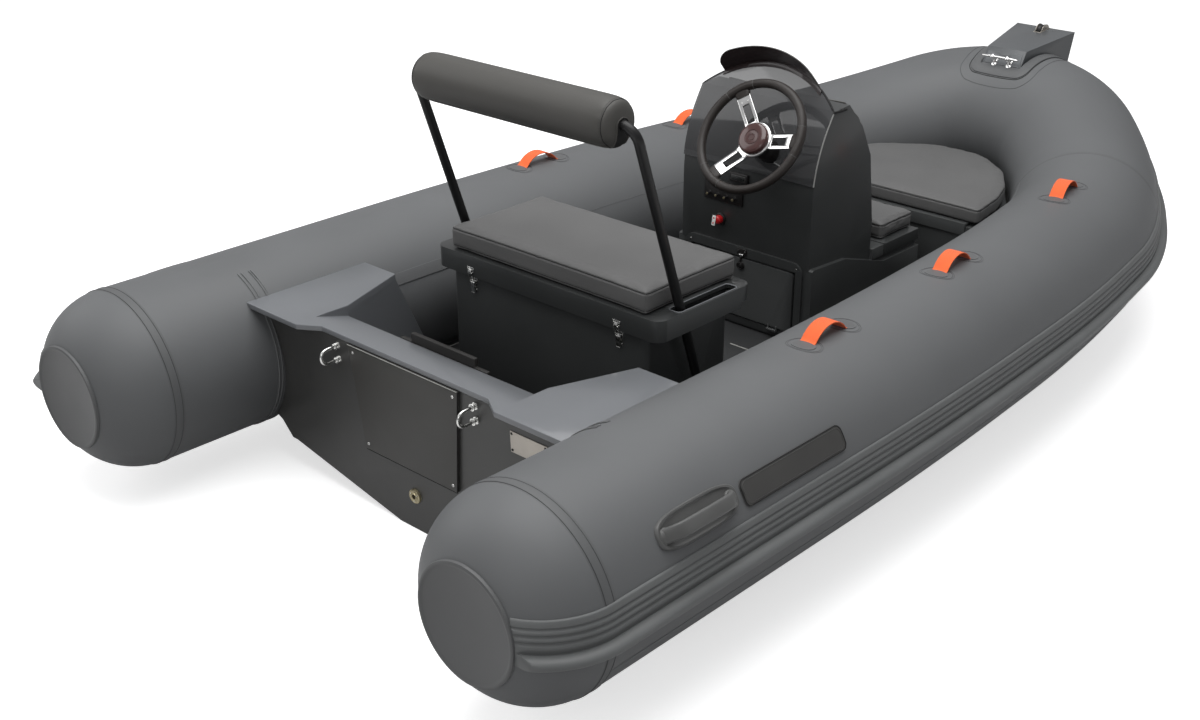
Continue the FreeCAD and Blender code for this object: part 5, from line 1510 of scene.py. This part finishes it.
bits = screws([transom(x, z, 0.0082) for x, z in ((-173, 423), (173, 423), (-150, 187), (150, 187))], T_N,
              0.0042, True)
EYE_R, EYE_OUT = 0.018, 0.052  # half the eye's opening and its reach
for k in (-1, 1):
    c = transom(k * 238.0, 402)
    ends = [c + T_UP * EYE_R, c - T_UP * EYE_R]
    curve, _ = arc_line([ends[0], ends[0] + T_N * EYE_OUT, ends[1] + T_N * EYE_OUT, ends[1]],
                        [EYE_R - 0.00001] * 2, step=0.003)
    bits.append(pipe(curve, 0.004, M["steel"], 14, "eye"))
    for at in reversed(ends):
        bits += nut(at + T_N * 0.0002, T_N, M["steel"], 0.0062, 0.005)
        bits += nut(at + T_N * 0.0095, T_N, M["steel"], 0.0060, 0.0045)
join("towing_eye_set", bits, gone=("towing_eyes",), slot="stainless")
# the pale bead along the plate's top edge is a painted highlight; the dark beads along its side and foot are
# painted shadow
join("plate_highlight_and_shadow_beads", [
    bead(transom(-189, 440.0, 0.0088), transom(189, 440.0, 0.0088), 0.0009, "edge_pale", "plate_edge_highlight"),
    bead(transom(190.2, 439.5, 0.0075), transom(161.2, 170.0, 0.0075), 0.0012, "near_black_and_shade", "plate_shadow"),
    bead(transom(-160, 169.2, 0.0065), transom(160, 169.2, 0.0065), 0.001, "near_black_and_shade", "plate_shadow"),
], slot="plate_dark")
bung_c = transom(0, 96)
bung_prof = [(0.0, 0.0012), (0.0062, 0.0012), (0.0066, 0.0075), (0.0095, 0.0082), (0.0105, 0.0062),
             (0.0140, 0.0058), (0.0162, 0.0066), (0.0184, 0.0052),
             (0.0188, 0.0018), (0.0190, 0.0), (0.0, 0.0)]
bung = [lathe(bung_prof, bung_c, T_N, M["brass"], 40, "bung")]
# a near-black disc in the bung's middle: painted shade in its hole
bung.append(lathe([(0, 0.0016), (0.0055, 0.0016), (0.006, 0.001), (0.0, 0.001)], bung_c, T_N, M["near_black_and_shade"], 20,
                  "bung_hole_shade"))
X_WAY = Vector((1, 0, 0))
spots = [bung_c + T_N * 0.0062 + (X_WAY * math.cos(a + 0.5) + T_UP * math.sin(a + 0.5)) * 0.0124
         for a in turns(3)]
bung += screws(spots, T_N, 0.0019)
join("bung_set", bung, gone=("drain_bung",), slot="stainless")
rivet = [(0, 0.0011), (0.0026, 0.0008), (0.0034, 0), (0.0034, -0.001), (0, -0.001)]
data = [lathe(rivet, transom(x, z, 0.0021), T_N, M["near_black_and_shade"], 14, "rivet") for x in (351, 453)
        for z in (352, 392)]
join("data_rivets", data, slot="black_plastic")

# Seat hardware
AFT = Vector((0, -1, 0))


def after(c, mm):
    """Points from a middle by (across, aft, up) in millimetres."""
    return [c + Vector((x, -y, z)) / 1000.0 for x, y, z in mm]


def flat(size, bevel, at, mat, name, way=AFT, hint=X_WAY, segs=2):
    """A small block by (across, up, thick) in millimetres, standing on an after face."""
    return block(Vector(size) / 1000.0, bevel / 1000.0, at, way, hint, M[mat], name, segs)


def strap_of(c, mm, half_w, half_t, name):
    """A bent flat strip."""
    prof = [(-half_w, -half_t), (half_w, -half_t), (half_w, half_t), (-half_w, half_t)]
    return sweep(after(c, mm), prof, M["steel"], up=AFT, name=name)


lat, hsp = [], []
for x in (-251, 251):
    c = P(x, 912, 438)
    lat.append(flat((22, 36, 1.4), 0.4, c + AFT * 0.0008, "steel", "plate"))
    lat += screws(after(c, [(dx, 1.6, dz) for dz in (-13, 10) for dx in (-7, 7)]), AFT, 0.0018)
    lat.append(strap_of(c, ((0, 3, 12), (0, 7, 4), (0, 7.2, -8), (0, 4.5, -18), (0, 6.2, -22)), 0.0062,
                        0.0009, "lever"))
    lat.append(pipe(after(c, [(dx, 6.5, 6) for dx in (-8.5, 0, 8.5)]), 0.0016, M["steel"], 10, "pin"))
    loop = after(c, ((-7.5, 6.8, 6), (-7.5, 16, 36), (7.5, 16, 36), (7.5, 6.8, 6)))
    loop_line, _ = arc_line(loop, [0.003, 0.003], step=0.002)
    lat.append(pipe(loop_line, 0.0012, M["steel"], 8, "loop"))
    h = P(x, 900, 481)
    hsp.append(flat((24, 13, 1.4), 0.4, h + AFT * 0.0008, "steel", "hasp"))
    hsp += screws(after(h, [(dx, 1.6, 0.5) for dx in (-8.5, 8.5)]), AFT, 0.0017)
    hsp.append(strap_of(h, ((0, 1, 2), (0, 3.6, -3), (0, 4.9, -8), (0, 4, -12)), 0.005, 0.0007, "hook"))
join("seat_latch_set", lat, gone=("seat_latches",), slot="stainless")
join("seat_hasp_set", hsp, body="seat_lid_body", gone=("seat_hasps",), slot="stainless")

# Backrest frame and grab rail as one smooth bent tube each
LEG_X, ROLL_AT = 359, 986  # half the distance between the legs, height of the roll
PIVOT = (1093, 253)  # station and height of the pivot
roll_s = PIVOT[0] - (ROLL_AT - PIVOT[1]) * math.tan(math.radians(19.2))
leg = [P(LEG_X, *PIVOT), P(LEG_X, roll_s, ROLL_AT), P(-LEG_X, roll_s, ROLL_AT), P(-LEG_X, *PIVOT)]
leg_line, _ = arc_line(leg, [0.04, 0.04], step=0.006)
fr = [pipe(leg_line, 0.012, M["black"], 24, "leg")]
eye = [(0.0066, 0.0118), (0.0165, 0.0118), (0.0170, 0.0108), (0.0170, -0.0108), (0.0165, -0.0118),
       (0.0066, -0.0118), (0.0066, 0.0118)]
for k in (-1, 1):
    fr.append(lathe(eye, P(LEG_X * k, *PIVOT), X_WAY, M["black"], 40, "leg_eye"))
join("backrest_tube", fr, body="backrest", gone=("backrest_frame",), slot="black_tube")
piv = []
for k in (-1, 1):
    piv += nut(P(k * (LEG_X + 18.2), *PIVOT), (k, 0, 0), M["steel"], 0.0085, 0.006)
join("pivot_nuts", piv, slot="stainless")
wall_x, rail_x, low, high = -225.2, -255, (1758, 420), (1838, 745)
rail, _ = arc_line([P(wall_x, *low), P(rail_x, *low), P(rail_x, 1763, 620), P(rail_x, *high),
                    P(wall_x, *high)],
                   [0.02, 0.06, 0.02], step=0.005)
gr = [pipe(rail, 0.009, M["black"], 20, "grab")]
rose = [(0, 0.004), (0.013, 0.004), (0.0165, 0.0022), (0.0175, 0), (0, 0)]
for at in (low, high):
    gr.append(lathe(rose, P(wall_x + 0.1, *at), (-1, 0, 0), M["black"], 28, "rose"))
join("grab_tube", gr, gone=("grab_rail",), slot="black_tube")

# Console fittings
con = screws([P(x, 1701.9, z) for z in (365, 168) for x in (-188, 188)], AFT, 0.0042, True)
c = P(0, 1701.8, 371)
con.append(flat((34, 18, 3), 1.2, c + AFT * 0.0008, "black_plastic", "keeper"))
con += screws(after(c, ((-12, 2.6, 2), (12, 2.6, 2))), AFT, 0.0022)
con.append(flat((14, 6, 5), 1.6, after(c, [(0, 3.6, -9)])[0], "polished", "tongue"))
join("hatch_keeper", con, gone=("hatch_latch",), slot="stainless")
ring_c = P(0, 1697.6, 331)
pts = [ring_c + AFT * 0.0052 + Vector((math.cos(a), 0, math.sin(a))) * 0.0095 for a in turns(28)]
seat = [(0, 0.005), (0.004, 0.005), (0.006, 0.003), (0.0125, 0.0016), (0.0135, 0), (0, 0)]
pull = [pipe(pts + pts[:1], 0.0016, M["black_plastic"], 8, "pull_ring"),
        lathe(seat, ring_c, AFT, M["black_plastic"], 28, "pull_seat"),
        flat((6, 20, 4), 1.2, P(0, 1696.5, 349), "black_plastic", "catch")]
join("hatch_pull", pull, body="hatch", slot="black_plastic")
ks = P(-84, 1708, 448)
base = [(0, 0.006), (0.0145, 0.006), (0.0168, 0.0042), (0.0172, 0.0), (0, 0)]
knob = [(0, 0.0242), (0.006, 0.0240), (0.0098, 0.0222), (0.0118, 0.0188), (0.0122, 0.015), (0.0122, 0.006),
        (0, 0.006)]
tag_way = Vector((-0.12, -0.97, 0.2))
kill = [lathe(base, ks, AFT, M["black_plastic"], 40, "kill_base"),
        lathe(knob, ks, AFT, M["red"], 40, "kill_knob"),
        flat((29, 13.5, 2.6), 1.2, after(ks, [(-6.5, 24.6, -1)])[0], "white", "tag", tag_way, (0, 0.2, 0.98),
             3)]
hole = [(0, 0.0017), (0.0022, 0.0017), (0.0026, 0.0012), (0, 0.0012)]
for at in after(ks, [(-6.8, 24.6 - dz * 0.2, dz - 1) for dz in (-7.2, 7.2)]):
    kill.append(lathe(hole, at, tag_way, M["red"], 14, "tag_hole"))
join("kill_set", kill, gone=("kill_switch",), slot="red_plastic")
sw = []
ring = [(0, 0.0012), (0.0062, 0.0012), (0.0068, 0.0), (0, 0)]
tip = [(0, 0.0015), (0.0032, 0.001), (0.0040, -0.002), (0.0036, -0.006), (0, -0.006)]
for i in range(4):
    b = P(-124.0 + 30.0 * i, 1703, 518)
    sw.append(lathe(ring, b, AFT, M["black_plastic"], 24, "toggle_nut"))
    sw.append(lathe(tip, b + AFT * 0.0125, AFT, M["brass"], 16, "toggle_tip"))
ins = P(-22, 1706.5, 583)
meter_way = AFT + Vector((0, 0, 0.08))
sw.append(flat((62, 26, 12), 3, ins + AFT * 0.002, "black_plastic", "meter", meter_way, segs=3))
sw.append(flat((46, 13.5, 1.2), 0.5, ins + AFT * 0.0085, "dash", "meter_face", meter_way))
sw.append(flat((50, 16.5, 0.6), 0.2, ins + AFT * 0.0081, "panel", "meter_line", meter_way))
sw += screws([P(x, 1702.9, z) for z in (556, 505) for x in (-138, -13)], AFT, 0.0022, mat="black_plastic")
join("switch_details", sw, slot="black_plastic")

# Windscreen and visor: the sheet bends round a line and goes on straight at its lean
DASH_MID = (2100.0, 560.0)
LEAN_DEG = 32.4
LEAN = math.radians(LEAN_DEG)
TOP_MID, TOP_R = 542.0, 340.0  # the sheet's upper edge is an arc


def screen_s(z, rho):
    """The straight part's station at a height, for a distance from the bend's middle."""
    z1 = DASH_MID[1] + rho * math.sin(LEAN)
    return DASH_MID[0] - rho * math.cos(LEAN) + (z - z1) * math.tan(LEAN)


def top_edge(x):
    """Height of the sheet's upper edge at a half-breadth."""
    return TOP_MID + math.sqrt(TOP_R ** 2 - x * x)


trim = []
stud = [(0, 0.004), (0.003, 0.0038), (0.0045, 0.002), (0.0045, -0.002), (0, -0.002)]
for k in (-1, 1):
    pts = []
    for i in range(14):
        x = 158.0 + (224.0 - 158.0) * i / 13
        pts.append(P(k * x, screen_s(top_edge(x), 394.8), top_edge(x) + 0.5))
    pts += [P(k * 225, 1810, 797), P(k * 225, 1826, 797), P(k * 224, 1842, 796)]
    trim.append(pipe(pts, 0.0032, M["near_black_and_shade"], 10, "trim"))
    for s in (1816, 1832):
        trim.append(lathe(stud, P(k * 222, s, 799), (0, 0, 1), M["black_plastic"], 14, "stud"))
# a pale line down the sheet's starboard edge: a painted highlight
pts = []
for i in range(16):
    a = math.radians(7.3 + (LEAN_DEG - 7.3) * i / 15)
    pts.append(P(224.4, DASH_MID[0] - 395.0 * math.cos(a), DASH_MID[1] + 395.0 * math.sin(a)))
pts.append(P(224.4, screen_s(795, 395.0), 795))
trim.append(pipe(pts, 0.0024, M["screen_edge"], 8, "sheet_edge_highlight"))
join("screen_trim", trim, slot="black_plastic")

# Bow step, cleat and roller
bow_skin_tree = surface_of(bow_skin)


def drop(p, lift):
    """The bow tube's skin under a point given by half-breadth and station in metres."""
    hit, n = bow_skin_tree.ray_cast(Vector((p.x, p.y - MID, 1.2)), Vector((0, 0, -1)))[:2]
    return hit + n * lift


def by_angle(ring, n):
    """Points of a closed line at even angles round the step's middle."""
    c = Vector((0, 3.2))
    pts = [Vector(p) - c for p in ring]
    out = []
    for a in turns(n):
        d = Vector((math.cos(a), math.sin(a)))
        reach = []
        for i, p in enumerate(pts):
            e = pts[(i + 1) % len(pts)] - p
            den = d.x * e.y - d.y * e.x
            if abs(den) < 1e-12:
                continue
            t = (p.x * e.y - p.y * e.x) / den
            u = (p.x * d.y - p.y * d.x) / den
            if t > 0 and -1e-6 <= u <= 1 + 1e-6:
                reach.append(t)
        out.append(c + d * max(reach))
    return out


N_FOOT = 160


def foot_ring(x0, x1, s0, s1, corner):
    """A ring round the step's foot: half-widths at its after and forward ends, and their stations."""
    return by_angle(ring_points([(-x0, s0), (x0, s0), (x1, s1), (-x1, s1)], corner, 0.006), N_FOOT)


a_in, a_out = foot_ring(0.072, 0.1055, 3.070, 3.345, 0.004), foot_ring(0.103, 0.136, 3.040, 3.372, 0.034)
layers = ((0.0, 0.0055), (0.12, 0.0050), (0.45, 0.0046), (0.88, 0.0042), (0.97, 0.0030), (1.0, -0.0005))
verts = [drop(p.lerp(q, f), lift) for f, lift in layers for p, q in zip(a_in, a_out)]
step_base = [loose("step_flange", verts, grid(len(layers), N_FOOT), M["patch"], 40)]
for ring, lift, r, mat, name in ((foot_ring(0.105, 0.138, 3.037, 3.374, 0.035), 0.0004, 0.0012, "near_black_and_shade",
                                  "step_edge"),
                                 (foot_ring(0.130, 0.162, 3.012, 3.39, 0.05), 0.0002, 0.0008, "patch_line",
                                  "step_patch")):
    pts = [drop(p, lift) for p in ring]
    step_base.append(pipe(pts + pts[:1], r, M[mat], 6, name))
join("step_base", step_base, slot="gelcoat_grey")

# The step's after face goes up from its foot by 91 mm while it goes 54 mm forward
REAR_S, REAR_Z, REAR_RUN, REAR_RISE = 3054.0, 611.0, 54.0, 91.0
R_N = Vector((0, -REAR_RISE, REAR_RUN)).normalized()


def on_rear(x, z, out=0.0):
    """A point on the step's after face, raised outward."""
    return P(x, REAR_S + REAR_RUN * (z - REAR_Z) / REAR_RISE, z) + R_N * out


def prism(name, low, top, mat, cap_low=False):
    """Sides between two rings of points, and caps."""
    bm = bmesh.new()
    top_v = [bm.verts.new(p) for p in top]
    low_v = [bm.verts.new(p) for p in low]
    for i in range(len(low_v)):
        j = (i + 1) % len(low_v)
        bm.faces.new((low_v[i], low_v[j], top_v[j], top_v[i]))
    bm.faces.new(top_v)
    if cap_low:
        bm.faces.new(low_v[::-1])
    return loose_bm(name, bm, mat, 30)


outline = [(-62, 652), (62, 652), (63, 688), (22, 690), (14, 682), (-14, 682), (-22, 690), (-63, 688)]
join("step_panel", [prism("rear_panel", [on_rear(x, z, -0.0003) for x, z in outline],
                          [on_rear(x * 0.985, 671 + (z - 671) * 0.97, 0.0012) for x, z in outline],
                          M["step"])],
     slot="gelcoat_grey")
bar = [on_rear(-65 + 130 * k / 24, 666, 0.0263) for k in range(25)]
thin = [0.55 + 0.45 * min(1.0, min(k, 24 - k) / 4.0) for k in range(25)]
cl = [pipe(bar, 0.0050, M["polished"], 16, "bar", scales=thin)]
post = [(0, 0.026), (0.0045, 0.026), (0.0045, 0.010), (0.0062, 0.005), (0.0100, 0.003), (0.0105, 0.0004),
        (0, 0.0004)]
cap = [(0, 0.0034), (0.0042, 0.0032), (0.0062, 0.002), (0.0064, 0), (0, 0)]
washer = [(0, 0.0046), (0.0034, 0.0046), (0.0040, 0.0030), (0.0082, 0.0026), (0.0094, 0.0014), (0.0096, 0),
          (0, 0)]
for k in (-1, 1):
    for prof, z, out, steps, name in ((post, 666, 0.0, 28, "post"), (cap, 666, 0.0306, 20, "cap"),
                                      (washer, 653, 0.0002, 28, "washer")):
        cl.append(lathe(prof, on_rear(k * 27, z, out), R_N, M["polished"], steps, name))
join("cleat", cl, gone=("mooring_cleat",), slot="stainless")
STEP_S, STEP_Z = 3108.0, 702.0  # after end of the step's top
SLOPE = (731.0 - STEP_Z) / (3364.0 - STEP_S)
ROLLER_S = 3338
rz = STEP_Z + (ROLLER_S - STEP_S) * SLOPE - 4.0
half_w = [(0.0056, 0.0078), (0.0212, 0.0078), (0.0220, 0.0068), (0.0205, 0.0035)]
prof = half_w + [(0.0196, 0.0)] + [(r, -h) for r, h in reversed(half_w)] + half_w[:1]
ro = [lathe(prof, P(0, ROLLER_S, rz), (1, 0, 0), M["black_plastic"], 48, "roller")]
join("roller_wheel", ro, body="roller", gone=("bow_roller",), slot="black_plastic")
ck = []
prof = [(3296, rz - 14), (3360, rz - 14), (3363, rz + 2)]
for i in range(9):
    a = PI * i / 8
    prof.append((ROLLER_S + 24.0 * math.cos(a), rz + 6 + 17.0 * math.sin(a)))
prof.append((3302, rz + 1.0))
for k in (-1, 1):
    ck.append(prism("cheek", [P(k * 12.6, s, z) for s, z in prof], [P(k * 10.6, s, z) for s, z in prof],
                    M["beige"], True))
lip = [P(x, s, STEP_Z + (s - STEP_S) * SLOPE + 0.2)
       for x, s in ((-13.4, 3364), (-13.4, 3304), (13.4, 3304), (13.4, 3364))]
for a, b in zip(lip, lip[1:]):
    ck.append(pipe([a, b], 0.0011, M["beige"], 8, "slot_lip"))
join("roller_cheeks", ck, slot="stainless")

# Bow locker catch
bl = [flat((22, 22, 1.6), 0.5, P(0, 2354.2, 304), "steel", "catch_plate"),
      flat((12, 16, 4), 1.2, P(0, 2352.0, 304), "steel", "catch")]
bl += screws([P(x, 2353.3, 310) for x in (-8, 8)], AFT, 0.0016)
join("bow_catch", bl, gone=("bow_latch",), slot="stainless")


# Coloured lines on the sole
def strip(x0, s0, x1, s1, w, mat):
    """A flat raised line on the sole."""
    a, b = P(x0, s0, 143.6), P(x1, s1, 143.6)
    h = 0.0012
    prof = [(-w / 2, -0.0002), (-w / 2 + 0.0006, h), (w / 2 - 0.0006, h), (w / 2, -0.0002)]
    return sweep([a.lerp(b, k / 8) for k in range(9)], prof, M[mat], name="strip", smooth=30)


# half-breadth and station of both ends, width in metres, material
LINES = ((634, 940, 634, 1130, 0.0075, "red_line"), (602, 930, 600, 1130, 0.0045, "edge_pale"),
         (560, 930, 558, 1120, 0.0055, "edge_pale"), (503, 930, 503, 1120, 0.0040, "edge_pale"),
         (60, 1586, 232, 1586, 0.0045, "edge_pale"))
tr = [strip(k * x0, s0, k * x1, s1, w, mat) for k in (-1, 1) for x0, s0, x1, s1, w, mat in LINES]
join("sole_lines", tr, slot="gelcoat_dark")

# Visor: a smooth sheet with rounded ends, blade and root
VISOR_TURN = math.radians(41)
V_WAY = Vector((0, -math.sin(VISOR_TURN), math.cos(VISOR_TURN)))
V_UP = Vector((0, math.cos(VISOR_TURN), math.sin(VISOR_TURN)))
S_DOWN = Vector((0, math.sin(LEAN), math.cos(LEAN)))
S_OFF = Vector((0, -math.cos(LEAN), math.sin(LEAN)))
tip_rows, root_rows = [], []
cuts = 84
root = ((-0.0116, 0.0004), (0.0038, 0.0004), (0.0038, 0.0034), (0.0028, 0.0038), (-0.0106, 0.0038),
        (-0.0116, 0.0030))
for i in range(cuts + 1):
    x = -165.0 * math.cos(PI * i / cuts)
    a = P(x, screen_s(top_edge(x), 397.2), top_edge(x)) + S_OFF * 0.0004
    e = min(1.0, (166.0 - abs(x)) / 40.0)
    reach = 0.070 * (0.35 + 0.65 * math.sqrt(1.0 - (1.0 - e) ** 2))
    blade = ((0.0, 0.0004), (reach - 0.0022, 0.0004), (reach - 0.0006, 0.0011), (reach, 0.0021),
             (reach - 0.0006, 0.0031), (reach - 0.0022, 0.0038), (0.004, 0.0038), (0.0, 0.0038))
    tip_rows.append([a + V_WAY * p + V_UP * q for p, q in blade])
    root_rows.append([a + S_DOWN * p + S_OFF * q for p, q in root])


def loft(rows, mat, name):
    """Closed sections joined one to the next, with both ends closed."""
    bm = bmesh.new()
    rings = [[bm.verts.new(v) for v in row] for row in rows]
    bridge(bm, rings, False)
    bm.faces.new(rings[0])
    bm.faces.new(rings[-1][::-1])
    return loose_bm(name, bm, mat, 40)


visor_ob = [loft(tip_rows, M["visor"], "visor_blade"), loft(root_rows, M["visor"], "visor_root")]
# the pale line along the blade's edge is a painted highlight
visor_highlight_line = [row[3] + V_WAY * 0.0001 for row in tip_rows]
visor_ob.append(pipe(visor_highlight_line, 0.0011, M["screen_edge"], 6, "visor_edge_highlight"))
join("visor_sheet", visor_ob, gone=("windscreen_visor",), slot="visor_brown")

# Windscreen, without the face that rests on the dash
SCREEN_IN = 392.3  # the sheet's inner radius


def screen_depth(co):
    """Distance from the bend's middle to the sheet's surface through a point, in millimetres."""
    aft, up = DASH_MID[0] - (co.y + MID) * 1000.0, co.z * 1000.0 - DASH_MID[1]
    if math.atan2(up, aft) < LEAN:
        return math.hypot(aft, up)
    return aft * math.cos(LEAN) + up * math.sin(LEAN)


bm = bmesh.new()
bm.from_mesh(NODES["windscreen"].data)
resting = [f for f in bm.faces if all(screen_depth(v.co) < SCREEN_IN + 1.0 for v in f.verts)]
bmesh.ops.delete(bm, geom=resting, context="FACES")
finish_piece(bpy.data.objects.new("windscreen_sheet", to_mesh(bm, "windscreen_sheet")), M["screen"],
             gone=("windscreen",), slot="smoked", smooth=30)

# Raised rims round the lid's two slots, in the paler grey gelcoat: a painted highlight on the dark lid
rim_highlights = []
lid_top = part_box("seat_lid")[1][2] + 0.0004
in_x, mid_x, out_x, aft_y, fore_y = 0.342, 0.360, 0.376, 0.978 - MID, 1.198 - MID
for k in (-1, 1):
    ring = ring_points([(in_x, aft_y), (out_x, aft_y), (out_x, fore_y), (in_x, fore_y)], 0.010, 0.004)
    pts = [Vector((k * (x - 0.0006 if x < mid_x else x + 0.0010), y, lid_top)) for x, y in ring]
    rim_highlights.append(pipe(pts + pts[:1], 0.0016, M["gel_grey"], 8, "slot_rim"))
join("lid_slot_rim_highlights", rim_highlights, body="seat_lid_body", slot="gelcoat_dark")
